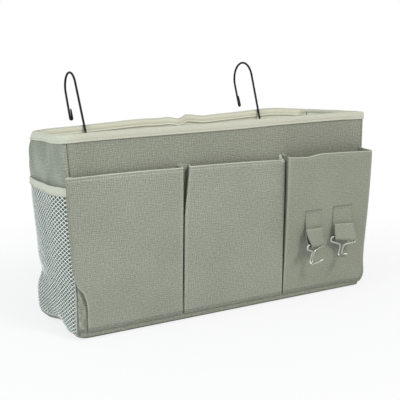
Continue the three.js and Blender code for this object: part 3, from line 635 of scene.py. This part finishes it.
def lit_inner_leg(i, j):
    """Painted light: the tape's inner leg is made paler everywhere but at the right end."""
    return INSIDE_LIGHT if TAPE_ROWS[j][0] == 1 and RIM_PLANS[j][i][0] < 188 else 0.0


rim_tape = cloth("rim_tape", RIM_RUN, tape_up, rim_point, tape, TAPE_CLOTH, painted_light=lit_inner_leg, closed=True)
dress(rim_tape, "caddy", "tape", "rim_binding")

# %% [markdown]
# ## Front pockets
# Beside each divider the canvas is folded into a pleat, so a pocket stands off the wall at its mouth and lies
# flat at its foot. Each is made from its plan at every height: seam, fold, front, fold, seam. At the mouth
# the cloth turns over and runs down inside as a hem.

# %% Pocket sizes
POCKET_PLANE, POCKET_SEAM, POCKET_TOP = -60.35, 9.4, 185
FOOT_STAND, FULLNESS, HEM = 1.7, 1.6, 5.5  # depth at the foot, how soon a pocket fills out, hem
POCKETS = {  # ears, folds and stands are given for the left and the right side of each pocket
    "left": {
        "seams": (-196, -66.6), "bulge": 1.6, "uneven": 1, "ears": (0.5, 2), "sag": 0, "seed": 0,
        "cloth": canvas, "thread": pale_thread,
        "folds": ([(0, 9.4), (0.1, 9.5), (0.17, 9.2), (0.22, 7.6), (0.26, 5.2), (0.32, -2), (0.38, -5),
                   (0.45, -7), (0.55, -7.6), (0.72, -9.6), (1, -10.2)],
                  [(0, -0.4), (0.5, -1), (1, -1.8)]),
        "stands": ([(0, 1.7), (0.1, 2.6), (0.2, 4.4), (0.3, 4.6), (0.45, 4.4), (0.7, 5), (1, 6)], 10),
        "rim": [(0, 0.6), (0.5, 1.2), (1, 0.2)],
    },
    "middle": {
        "seams": (-65.4, 76.4), "bulge": 1.2, "uneven": 0.8, "ears": (2, 8), "sag": 0, "seed": 20,
        "cloth": canvas, "thread": pale_thread,
        "folds": ([(0, 1.4), (0.5, 1.5), (0.7, 2.2), (0.85, 5), (1, 8.4)],
                  [(0, 0.4), (0.5, 0.2), (1, 0)]),
        "stands": (10, 9),
        "rim": [(0, 1), (0.5, -0.6), (0.85, -2.4), (0.95, -3.4), (1, -6.4)],
    },
    "right": {
        "seams": (77.6, 199), "bulge": 0, "uneven": 0.2, "ears": (2.5, 3.5), "sag": 2.5, "seed": 40,
        "cloth": smooth_canvas, "thread": thread,
        "folds": ([(0, 0), (0.2, -1.6), (0.5, -2.8), (1, -2.9)],
                  [(0, -3.5), (0.02, -6.6), (0.05, -8.6), (0.09, -7.8), (0.14, -6), (0.19, -5),
                   (0.3, -4), (0.6, -4), (1, -4.6)]),
        "stands": (18, 20),
        "rim": [(0, 0.4), (0.12, -0.8), (0.22, -1.2), (0.36, 0.9), (0.5, 0.8), (0.75, -0.2), (1, -1.6)],
    },
}


def standing(mouth):
    """How far a fold stands off the wall up its height, by a table or by its mouth alone."""
    if isinstance(mouth, list):
        return curve(mouth)
    return lambda t: blend(FOOT_STAND, mouth, 1 - (1 - min(t, 1)) ** FULLNESS)


for shape in POCKETS.values():
    shape["folds"] = [curve(table) for table in shape["folds"]]
    shape["stands"] = [standing(mouth) for mouth in shape["stands"]]
    shape["rim"] = curve(shape["rim"])
print("pocket widths", [round(shape["seams"][1] - shape["seams"][0], 1) for shape in POCKETS.values()])

# %% Plan of a pocket
SEWN_STEPS, GUSSET_STEPS, FOLD_STEPS, FRONT_STEPS, HEM_STEPS = 3, 4, 5, 44, 3
FACE_START = SEWN_STEPS + GUSSET_STEPS + FOLD_STEPS
FOLD_ROUND = 1.7  # how far from its corner a fold starts to turn
FOLD_LOW, CREASE_PAST = 0.9, 0.3


def pocket_corner(shape, k, t, inner):
    """One side of a pocket in plan: its seam, the crease under its fold, and its fold."""
    way = 1 if k == 0 else -1
    seam = shape["seams"][k] + way * inner
    fold = shape["folds"][k](t) + inner
    stand = shape["stands"][k](t) - inner
    tucked = max(fold, 0)
    low = min(0.3 * stand, FOLD_LOW)
    if not tucked:
        low = blend(low, 0.5 * stand, min(-fold / 2, 1))
    crease = Vector((seam + way * (tucked + 2 * min(tucked / 4, 1) + CREASE_PAST), -low))
    return Vector((seam, 0)), crease, Vector((shape["seams"][k] + way * fold, -stand))


def straight(a, b, steps):
    return [a.lerp(b, t) for t in shares(steps)[:-1]]


def half_plan(corner, ahead):
    """Half of a pocket's plan, from its seam over the rounded fold to its front."""
    seam, crease, fold = corner
    reach = min(FOLD_ROUND, 0.45 * (fold - crease).length)
    enter, leave = fold + (crease - fold).normalized() * reach, fold + ahead * reach
    return (straight(seam, crease, SEWN_STEPS) + straight(crease, enter, GUSSET_STEPS)
            + [enter.lerp(fold, t).lerp(fold.lerp(leave, t), t) for t in shares(FOLD_STEPS)])


def pocket_plan(shape, t, inner):
    """Plan of a pocket at a height share t, drawn in by inner millimetres for the turned hem."""
    corners = [pocket_corner(shape, k, t, inner) for k in (0, 1)]
    front = (corners[1][2] - corners[0][2]).normalized()
    left, right = half_plan(corners[0], front), half_plan(corners[1], -front)
    return left + straight(left[-1], right[-1], FRONT_STEPS)[1:] + right[::-1]


pocket_heights = [0, 0.006, 0.012, 0.03, 0.06] + [blend(0.1, 1, t) for t in shares(36)[:-1]]
pocket_heights += [0.988, 0.995, 1]
POCKET_TALL = POCKET_TOP - POCKET_SEAM
POCKET_ROWS = [(t, 0.0, POCKET_SEAM - 1 + t * (POCKET_TALL + 1)) for t in pocket_heights]
MOUTH_ROW = len(POCKET_ROWS) - 1
POCKET_ROWS += [(1.0, 0.5, POCKET_TOP + 0.5), (1.0, 1.4, POCKET_TOP + 0.5)]
POCKET_ROWS += [(1 - HEM * t / POCKET_TALL, 1.9, POCKET_TOP - HEM * t) for t in shares(HEM_STEPS)]
for shape in POCKETS.values():
    shape["plans"] = [pocket_plan(shape, t, inner) for t, inner, _ in POCKET_ROWS]
POCKET_LAST = len(POCKETS["left"]["plans"][0]) - 1
print("pocket plans of", POCKET_LAST + 1, "points in", len(POCKET_ROWS), "rows")

# %% Pocket cloth
POCKET_CLOTH = 0.9
# painted shade in the tucks under the folds, weaker at the right pocket's open end, and darker foot rows
TUCK_SHADE, OPEN_TUCK, FOOT_LINE = 0.75, 0.2, 0.55
# painted highlights on the mouth, on the middle pocket's curled ear and along the fold edges
MOUTH_HIGHLIGHT, EAR_HIGHLIGHT, FOLD_HIGHLIGHT = 0.65, 0.6, 0.12


def pocket_point(shape, i, j):
    t, _, z = POCKET_ROWS[j]
    flat = shape["plans"][j][i]
    left, right = shape["seams"]
    s = min(max((flat.x - left) / (right - left), 0), 1)
    edge = min(i, POCKET_LAST - i)
    face = ramp(edge, FACE_START - FOLD_STEPS, FACE_START + FOLD_STEPS)
    belly = shape["bulge"] * math.sin(math.pi * s) * math.sin(math.pi * min(t, 1)) ** 0.7
    seed = shape["seed"]
    uneven = 0.8 * ripple(flat.x, 0, z * 0.6, 55, seed) + 0.4 * ripple(flat.x, 0, z, 24, seed + 5)
    ear = shape["ears"][0 if i == edge else 1] * max(1 - edge / FACE_START, 0) ** 1.5
    mouth = (shape["rim"](s) + ear) * t ** 8 - shape["sag"] * ramp(s, 0.75, 1) * (1 - min(t, 1)) ** 12
    out = face * (belly + ramp(t, 0, 0.25) * shape["uneven"] * uneven)
    return Vector((flat.x, POCKET_PLANE + flat.y - out, z + mouth))


def pocket_piece(side, shape):
    across = lengths([tuple(p) for p in pocket_plan(shape, 0.9, 0)])
    up = lengths([(inner, z) for _, inner, z in POCKET_ROWS])

    def curled(i, j):
        """The ear of the middle pocket, which curls over at its right."""
        return side == "middle" and i > POCKET_LAST - FACE_START - 2 and j >= MOUTH_ROW - 1

    def crease(i, j):
        if curled(i, j):
            return 0.0
        past = min(i, POCKET_LAST - i) - SEWN_STEPS
        tucked = max(1 - past / GUSSET_STEPS if past > 0 else 1 + past / 1.5, 0)
        open_end = side == "right" and i > POCKET_LAST / 2 and j > MOUTH_ROW - 6
        return max((OPEN_TUCK if open_end else TUCK_SHADE) * tucked, FOOT_LINE if j in (1, 2) else 0.0)

    def painted_light(i, j):
        if MOUTH_ROW <= j <= MOUTH_ROW + 1:
            return MOUTH_HIGHLIGHT
        if curled(i, j):
            return EAR_HIGHLIGHT
        return FOLD_HIGHLIGHT if abs(min(i, POCKET_LAST - i) - FACE_START + 2) < 3 else 0.0

    piece = cloth(f"pocket_cloth_{side}", across, up, lambda i, j: pocket_point(shape, i, j), shape["cloth"],
                  POCKET_CLOTH, crease, painted_light)
    dress(piece, "caddy", "canvas", f"pocket_{side}")


for side, shape in POCKETS.items():
    pocket_piece(side, shape)

# %% [markdown]
# ## Net pockets
# A flat grid is poked, which puts a cross into every square, and its own lines are dissolved, so that only
# diamonds are left. Wireframe turns every edge into a yarn. Then the net is laid over the bellied end, with
# its yarns pressed flat, which keeps the openings clear when they are seen from the side.

# %% Shape of the nets
NET_FRONT, NET_BACK = -59.2, 57
NET_WIDTH, NET_TALL = NET_BACK - NET_FRONT, NET_TOP - NET_FOOT
NET_COLUMNS, NET_ROWS = 15, 34
NET_CORD, NET_FLAT = 1.0, 0.45  # width of a yarn, and how much flatter it is than wide
NET_SKEW = 0.12  # the net was sewn in askew, so its rows run down towards the back
NET_FULLEST = 0.35  # share of the end, from its front, where the net stands off most
NET_SLACK, NET_EDGE_SHADE = 0.5, 0.9
net_slack = curve([
    (6, 0.4), (20, 2.2), (32, 2), (50, 1), (62, 2), (75, 3.4), (100, 4.8), (140, 5.6), (175, 5)])


def net_point(side, y, z, out=0.0):
    """A place on an end's net, which hangs out between its seams and turns in with the corners."""
    along = (y - NET_FRONT) / NET_WIDTH
    wide = math.sin(math.pi / 2 * min(along / NET_FULLEST, 1))
    wide -= max(along - NET_FULLEST, 0) / (1 - NET_FULLEST)
    over = max(abs(y) - (FACE_Y - CORNER), 0)
    x = END_X - CORNER + math.sqrt(max(CORNER ** 2 - over ** 2, 0))
    point = made_up(side * x, y, z)
    point.x += side * (blend(1.0, 0.6, along) + net_slack(z) * wide + out * (1 - over / CORNER))
    point.y += math.copysign((1.0 + out) * over / CORNER, y)
    return point


def net_y(side, share):
    """The net runs from back to front at the left end, and the other way at the right end."""
    return blend(NET_FRONT, NET_BACK, share if side > 0 else 1 - share)


# %% Nets
for name, side in SIDES.items():
    piece = added(bpy.ops.mesh.primitive_grid_add, f"net_strands_{name}", x_subdivisions=NET_COLUMNS,
                  y_subdivisions=NET_ROWS, size=1)
    mesh = piece.data
    square = len(mesh.vertices)
    edit_all()
    bpy.ops.mesh.poke()
    bpy.ops.mesh.select_all(action="DESELECT")
    bpy.ops.object.mode_set(mode="OBJECT")
    for edge in mesh.edges:
        edge.select = max(edge.vertices) < square
    bpy.ops.object.mode_set(mode="EDIT")
    bpy.ops.mesh.select_mode(type="EDGE")
    bpy.ops.mesh.dissolve_edges(use_verts=False)
    bpy.ops.object.mode_set(mode="OBJECT")
    for corner in mesh.uv_layers.active.data:
        corner.uv = (corner.uv.x * NET_WIDTH * MM, corner.uv.y * NET_TALL * MM)
    for vertex in mesh.vertices:
        vertex.co = Vector((vertex.co.x * NET_WIDTH, vertex.co.y * NET_TALL, 0)) * MM
    strands = piece.modifiers.new("strands", "WIREFRAME")
    strands.thickness = NET_CORD * MM
    strands.use_boundary = True
    bpy.ops.object.modifier_apply(modifier=strands.name)
    shade = mesh.attributes.new("crease", "FLOAT", "POINT").data
    for vertex in mesh.vertices:
        u, v, w = vertex.co / MM
        y, level = net_y(side, u / NET_WIDTH + 0.5), v / NET_TALL + 0.5
        z = NET_FOOT + level * NET_TALL - NET_SKEW * (y - NET_FRONT) * 4 * level * (1 - level)
        slack = NET_SLACK * ripple(y, z, 0, 16, 40.0 + side) * (1 - (y - NET_FRONT) / NET_WIDTH)
        shade[vertex.index].value = NET_EDGE_SHADE if abs(u) > NET_WIDTH / 2 - 0.7 else 0.0
        vertex.co = net_point(side, y, z, slack + NET_FLAT * w) * MM
    bpy.ops.object.shade_smooth()
    mesh.materials.append(netting)
    dress(piece, "caddy", "net", f"net_{name}")

# %% Tape on the nets
NET_TAPE_STEPS, NET_TAPE_CLOTH = 40, 0.7
NET_TAPE_TOP = NET_TOP + 1
NET_TAPE_ROWS = [  # out from the net, and up from the tape's shoulder
    (1.1, -NET_TAPE), (1.5, -8.6), (1.6, -7.8), (1.2, -7.2), (1.2, -5), (1.2, -1.5), (0.9, -0.2), (0.3, 0.5),
    (-0.3, 0.5), (-0.9, -0.2), (-1.2, -1.5), (-1.2, -5), (-1.2, -NET_TAPE)]


def net_tape(name, side):
    ys = [net_y(side, t) for t in shares(NET_TAPE_STEPS)]

    def place(i, j):
        out, up = NET_TAPE_ROWS[j]
        slack = 0.4 * ripple(ys[i], up * 0.3, 0, 20, 60.0 + side)
        return net_point(side, ys[i], NET_TAPE_TOP + up + slack, out)

    across = [NET_WIDTH * t for t in shares(NET_TAPE_STEPS)]
    piece = cloth(f"net_tape_{name}", across, lengths(NET_TAPE_ROWS), place, tape, NET_TAPE_CLOTH)
    dress(piece, "caddy", "tape", f"net_binding_{name}")


for name, side in SIDES.items():
    net_tape(name, side)

# %% [markdown]
# ## Bent wire
# A hook is one length of wire, bent over pins. It is drawn in the same way: a circle at the wire's end is
# extruded along each straight run and spun about each bend's centre. The helper keeps the end's place and
# direction, so that a hook is written as runs and bends.

# %% Wire helper
BLUNT = [(0.45, 0.18), (1.6, 0.22)]  # a cut end swells in two steps: resize, then run in diameters
BLUNT_RUN = sum(step for _, step in BLUNT)
FULL_WIDTH = 1.389  # brings the swollen end to the wire's width
TAPER, TAPER_RUN, TIP = 0.72, 0.22, 0.625  # the other end: resize, run in diameters, resize


class Wire:
    """Round wire, drawn run by run in edit mode. Lengths are millimetres."""

    def __init__(self, name, at, heading, diameter, sides=16):
        self.at, self.heading, self.diameter = Vector(at), Vector(heading).normalized(), diameter
        facing = self.heading.to_track_quat("Z", "Y").to_euler()
        self.piece = added(bpy.ops.mesh.primitive_circle_add, name, vertices=sides, radius=diameter / 2 * MM,
                           fill_type="NGON", location=self.at * MM, rotation=facing)
        bpy.ops.object.transform_apply()
        edit_all()
        for share, step in BLUNT:
            self.resize(share)
            self.run(step * diameter)
        self.resize(FULL_WIDTH)

    def resize(self, share):
        bpy.ops.transform.resize(value=(share, share, share), center_override=self.at * MM)

    def run(self, length):
        step = self.heading * length
        bpy.ops.mesh.extrude_region_move(TRANSFORM_OT_translate={"value": step * MM})
        self.at += step

    def bend(self, towards, radius, degrees, steps=8):
        """Bends the wire towards a direction, with that radius to its middle."""
        side = Vector(towards)
        side = (side - side.dot(self.heading) * self.heading).normalized()
        centre = self.at + side * radius
        axis = self.heading.cross(side)
        turn = Matrix.Rotation(math.radians(degrees), 3, axis)
        bpy.ops.mesh.spin(steps=steps, angle=-math.radians(degrees), center=centre * MM, axis=axis)
        self.at = centre + turn @ (self.at - centre)
        self.heading = (turn @ self.heading).normalized()

    def end(self, finish):
        self.resize(TAPER)
        self.run(TAPER_RUN * self.diameter)
        self.resize(TIP)
        merge()
        bpy.ops.object.shade_smooth_by_angle(angle=math.radians(60))
        self.piece.data.materials.append(finish)
        return self.piece


# %% [markdown]
# ## Hanging hooks and eyelets
# Each hook is a cane of black wire. Its lower bend is part of a circle about the hinge line and lies in an
# eyelet, its stem leans on the rim, and its tip is folded back. An eyelet is a profile spun round its hole.

# %% Hanging hooks
HOOK_WIRE, HOOK_LEAN = 2.8, math.asin(0.3509)
HINGE_Y, HINGE_Z, EYE_RADIUS = 57.8, 215.4, 10
EYE_START = math.radians(355)  # where the wire starts on its circle about the hinge
TIP_FOLD, TIP_BACK = 1.45, 12
back_way = Vector((0, math.cos(HOOK_LEAN), -math.sin(HOOK_LEAN)))
stem_way = Vector((0, math.sin(HOOK_LEAN), math.cos(HOOK_LEAN)))
HOOKS = {  # eye and turn are degrees, fold is the way that the tip turns back
    "left": {"x": -136, "eye": 180, "stem": 66.7, "arch": 19.3, "turn": 175, "return": 34,
             "fold": Vector((1, 0, 0))},
    "right": {"x": 115, "eye": 173.5, "stem": 63.6, "arch": 23.3, "turn": 181.5, "return": 29.5,
              "fold": -back_way},
}

for name, hook in HOOKS.items():
    radial = math.cos(EYE_START) * back_way + math.sin(EYE_START) * stem_way
    heading = math.sin(EYE_START) * back_way - math.cos(EYE_START) * stem_way
    start = Vector((hook["x"], HINGE_Y, HINGE_Z)) + EYE_RADIUS * radial
    wire = Wire(f"wire_hook_{name}", start, heading, HOOK_WIRE)
    wire.bend(-radial, EYE_RADIUS, hook["eye"], 22)
    wire.run(hook["stem"])
    wire.bend(back_way, hook["arch"], hook["turn"], 30)
    wire.run(hook["return"])
    wire.bend(hook["fold"], TIP_FOLD, 180, 10)
    wire.run(TIP_BACK)
    dress(wire.end(black_wire), f"hanging_hook_{name}", "black_wire", f"hanging_hook_{name}")

# %% Eyelets
EYELET_Z, EYELET_STEPS = 207, 40
EYELET_HALF = [(6.5, 2.45), (6.4, 2.6), (5.4, 3.3), (4.2, 3.4), (3.5, 3.0), (3.2, 2.3)]  # radius, depth
BARREL = 4.0  # outer radius between the two flanges
EYELET_PROFILE = [(r, -y) for r, y in reversed(EYELET_HALF)] + [(BARREL, -2.4), (BARREL, 2.4)] + EYELET_HALF

for name, hook in HOOKS.items():
    middle = Vector((hook["x"], HINGE_Y, EYELET_Z))
    piece = added(bpy.ops.mesh.primitive_circle_add, f"eyelet_ring_{name}", vertices=len(EYELET_PROFILE))
    for vertex, (r, y) in zip(piece.data.vertices, EYELET_PROFILE):
        vertex.co = (middle + Vector((0, y, r))) * MM
    edit_all()
    bpy.ops.mesh.spin(steps=EYELET_STEPS, angle=math.tau, center=middle * MM, axis=(0, 1, 0))
    merge()
    bpy.ops.object.shade_smooth_by_angle(angle=math.radians(40))
    piece.data.materials.append(nickel)
    dress(piece, "caddy", "nickel", f"eyelet_{name}")

# %% [markdown]
# ## Tabs and key hooks
# A key hook hangs from a strap that is folded round its bar and sewn down part of the way up. The left strap
# has twisted, so its hook is seen from the side. Both are turned a little more with every millimetre down.

# %% Tabs
TAB_CLOTH, TAB_WIDTH, TAB_LENGTH, TAB_MIDDLE, TAB_BEND = 1.2, 29, 41, 1.35, 1.9
FLAP = 18  # how far the strap runs up again in front
SEWN_OUT, FLAP_OUT = 0.8, 1.55  # how far the sewn end and the flap's end lie off the pocket
BACK_STEPS, BEND_STEPS, FLAP_STEPS, TAB_STEPS = 12, 10, 6, 14
SHADED_ROWS = range(15, 19)  # rows on the underside of the fold
# painted shade under the fold, along the sewn end and the edges, and a painted highlight on the flap's top
# edge
FOLD_SHADE, SEWN_SHADE, EDGE_SHADE, FLAP_HIGHLIGHT = 0.85, 0.5, 0.2, 0.25
LEAN_POWER = 3.2
TABS = {  # twist and tilt are degrees, lean is how far the fold hangs out
    "left": {"at": (113, -75.5, 115.5), "twist": 22, "lean": 7, "tilt": 4, "haste": 1.7, "pinch": 0.3},
    "right": {"at": (160, -76.179, 116.5), "twist": -14, "lean": 4, "tilt": 6, "haste": 1.8, "pinch": 0.0},
}


def strap_line():
    """Middle of the strap's cloth, down, round the bar and up the front: (out, up)."""
    back = [(blend(SEWN_OUT, TAB_MIDDLE - TAB_BEND, t), -TAB_LENGTH * t) for t in shares(BACK_STEPS)[:-1]]
    fold = [(TAB_MIDDLE - TAB_BEND * math.cos(a), -TAB_LENGTH - TAB_BEND * math.sin(a))
            for a in (math.pi * t for t in shares(BEND_STEPS))]
    front = [(blend(TAB_MIDDLE + TAB_BEND, FLAP_OUT, t), FLAP * t - TAB_LENGTH)
             for t in shares(FLAP_STEPS)[1:]]
    return back + fold + front


STRAP = strap_line()


def strap_point(name, across, along, off):
    """A place on a strap: across its width, along its line, and off its middle."""
    tab = TABS[name]
    k = min(max(int(along), 0), len(STRAP) - 2)
    middle = Vector(STRAP[k]).lerp(Vector(STRAP[k + 1]), along - k)
    way = (Vector(STRAP[min(k + 2, len(STRAP) - 1)]) - Vector(STRAP[max(k - 1, 0)])).normalized()
    out, z = middle.x + way.y * off, middle.y - way.x * off
    share = min(max(-z / TAB_LENGTH, 0), 1)
    turn = math.radians(tab["twist"]) * share ** tab["haste"]
    curl = 0.5 * ripple(across, z, 0, 18, 70.0) * ramp(share, 0, 0.5) * (1 - share)
    if across < 0 and along < BACK_STEPS:
        across *= 1 - tab["pinch"] * (1 - ramp(share, 0.5, 1))
    out -= TAB_MIDDLE - curl
    x = across * math.cos(turn) + out * math.sin(turn)
    y = across * math.sin(turn) - out * math.cos(turn) - TAB_MIDDLE - tab["lean"] * share ** LEAN_POWER
    return Vector(tab["at"]) + Vector((x, y, z - math.tan(math.radians(tab["tilt"])) * across * share))


def strap_piece(name):
    across = [TAB_WIDTH * t for t in shares(TAB_STEPS)]
    up = lengths(STRAP)

    def place(i, j):
        return strap_point(name, TAB_WIDTH / 2 - across[i], j, TAB_CLOTH / 2)

    def crease(i, j):
        if j in SHADED_ROWS:
            return FOLD_SHADE
        return SEWN_SHADE if j == 0 else EDGE_SHADE if i in (0, TAB_STEPS) else 0.0

    def painted_light(i, j):
        return FLAP_HIGHLIGHT if j == len(STRAP) - 1 else 0.0

    piece = cloth(f"strap_{name}", across, up, place, smooth_canvas, TAB_CLOTH, crease, painted_light)
    dress(piece, f"tab_{name}", "canvas", f"tab_{name}")


for name in TABS:
    strap_piece(name)

# %% Key hooks
KEY_WIRE, KEY_HANG, KEY_SLIDE = 2.5, 13.957, Vector((-1.6, 0, 0))
KEY_CORNERS = [  # one half of the wire, from its butt in the fold to its tip: place and radius of the bend
    ((0.4, 0, 0), 0), ((17.2, 0, 0), 2.4), ((17.2, 0, -5.6), 2.4), ((2.1, 0, -10), 5), ((2.1, 0, -30.5), 3.5),
    ((2.1, -15.5, -15.5), 2.1),
]


def bent_wire(name, corners, diameter, sides, finish):
    """A wire through corners, each given with the radius of its bend."""
    spots = [at for at, _ in corners]
    ways = [(b - a).normalized() for a, b in zip(spots, spots[1:])]
    wire = Wire(name, spots[0], ways[0], diameter, sides)
    spent = BLUNT_RUN * diameter
    for k, way in enumerate(ways):
        turn = way.angle(ways[k + 1]) if k + 1 < len(ways) else 0.0
        radius = corners[k + 1][1]
        cut = radius * math.tan(turn / 2) if turn else TAPER_RUN * diameter
        wire.run((spots[k + 1] - spots[k]).length - spent - cut)
        if turn:
            wire.bend(ways[k + 1], radius, math.degrees(turn))
        spent = cut
    return wire.end(finish)


for name, tab in TABS.items():
    hang = turned((tab["twist"], "Z"), (tab["tilt"], "Y"), (KEY_HANG, "X"))
    bar = Vector(tab["at"]) + Vector((0, -TAB_MIDDLE - tab["lean"], -TAB_LENGTH))
    mirrored = [((-x, y, z), bend) for (x, y, z), bend in reversed(KEY_CORNERS)]
    corners = [(bar + hang @ (Vector(at) + KEY_SLIDE), bend) for at, bend in KEY_CORNERS + mirrored]
    piece = bent_wire(f"key_wire_{name}", corners, KEY_WIRE, 12, nickel)
    dress(piece, f"key_hook_{name}", "nickel", f"key_hook_{name}")

# %% [markdown]
# ## Stitches
# Machine stitches show as short grains of thread, sunk a little into the cloth. One stitch is modelled as a
# small stretched ball, and copies of it are set along each seam's line.

# %% One stitch and a row
grain = added(bpy.ops.mesh.primitive_uv_sphere_add, "grain", segments=6, ring_count=4, radius=1)
grain_points = [v.co.copy() for v in grain.data.vertices]
grain_faces = [tuple(p.vertices) for p in grain.data.polygons]
bpy.data.objects.remove(grain)
rows_sewn = {}


def stitch_row(name, line, finish, body="caddy", pitch=3.4, length=2.5, thick=0.55):
    """Copies of one stitch along a line of points, given in millimetres on the cloth's surface."""
    run = lengths([tuple(p) for p in line])
    count = max(int(run[-1] / pitch), 1)
    size = Vector((thick / 2, thick / 2, length / 2))
    points, faces = [], []
    for k in range(count):
        at = (k + 0.5) * run[-1] / count
        seg = min(max(bisect.bisect(run, at), 1), len(run) - 1)
        a, b = line[seg - 1], line[seg]
        middle = a.lerp(b, (at - run[seg - 1]) / max(run[seg] - run[seg - 1], 1e-6))
        turn = (b - a).to_track_quat("Z", "Y")
        faces += [tuple(len(points) + v for v in face) for face in grain_faces]
        points += [(middle + turn @ (p * size)) * MM for p in grain_points]
    mesh = bpy.data.meshes.new(f"stitches_{name}")
    mesh.from_pydata(points, [], faces)
    mesh.uv_layers.new(name="UVMap")
    mesh.materials.append(finish)
    mesh.shade_smooth()
    piece = bpy.data.objects.new(mesh.name, mesh)
    bpy.context.scene.collection.objects.link(piece)
    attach(piece, body)
    rows_sewn[name] = count


# %% Seams of the caddy
HEM_SEWN = 0.35  # where the hem is sewn, between two rows of the pocket's grid
HEM_STITCH = {"length": 2.9, "thick": 0.75}
FOOT_ROW = 2


def row_above(level):
    return next(j for j, (_, _, z) in enumerate(POCKET_ROWS) if z > level)


HEM_ROW = row_above(POCKET_TOP - HEM + 1)
NET_SEWN, NET_SEWN_OUT = 7.4, 1.7

for name, row in (("rim", TAPE_TROUGH), ("rim_inside", len(TAPE_ROWS) - 1 - TAPE_TROUGH)):
    stitch_row(name, [rim_point(i, row) for i in range(len(RIM_RUN))], pale_thread)
for side, shape in POCKETS.items():
    front = range(FACE_START - 2, POCKET_LAST + 1 - FACE_START + 2)
    stitch_row(f"foot_{side}", [pocket_point(shape, i, FOOT_ROW) for i in front], thread)
    hem = [pocket_point(shape, i, HEM_ROW).lerp(pocket_point(shape, i, HEM_ROW + 1), HEM_SEWN) for i in front]
    stitch_row(f"hem_{side}", hem, shape["thread"], **HEM_STITCH)
for name, side in SIDES.items():
    ys = [net_y(side, t) for t in shares(NET_TAPE_STEPS)]
    line = [net_point(side, y, NET_TAPE_TOP - NET_SEWN, NET_SEWN_OUT) for y in ys]
    stitch_row(f"net_{name}", line, pale_thread)

# %% Seams of the tabs
TAB_STITCH, TAB_SEWN_OUT = {"pitch": 2.8, "thick": 0.5}, 0.65
TAB_SEWN = [TAB_WIDTH * (t - 0.5) * 0.92 for t in shares(8)]  # places across a strap
TAB_SEAMS = [("flap", len(STRAP) - 1.6, TAB_SEWN_OUT), ("top", 0.6, -TAB_SEWN_OUT)]
LINE_LEVEL, LINE_SLOPE, LINE_FROM = 114, 0.03, 120  # the seam that runs on between the tabs
LINE_SEEN = {"left": (94, 102.5), "right": (129, 145)}

for name in TABS:
    for seam, row, off in TAB_SEAMS:
        line = [strap_point(name, across, row, off) for across in TAB_SEWN]
        stitch_row(f"{seam}_{name}", line, thread, f"tab_{name}", length=2.0, **TAB_STITCH)
front = range(FACE_START, POCKET_LAST + 1 - FACE_START)
line = [pocket_point(POCKETS["right"], i, row_above(LINE_LEVEL)) for i in front]
line = [spot + Vector((0, -0.1, LINE_SLOPE * (spot.x - LINE_FROM))) for spot in line]
for name, (start, stop) in LINE_SEEN.items():
    seen = [spot for spot in line if start < spot.x < stop]
    stitch_row(f"tab_line_{name}", seen, thread, length=2.2, **TAB_STITCH)
print("stitches", sum(rows_sewn.values()), "in", len(rows_sewn), "rows")
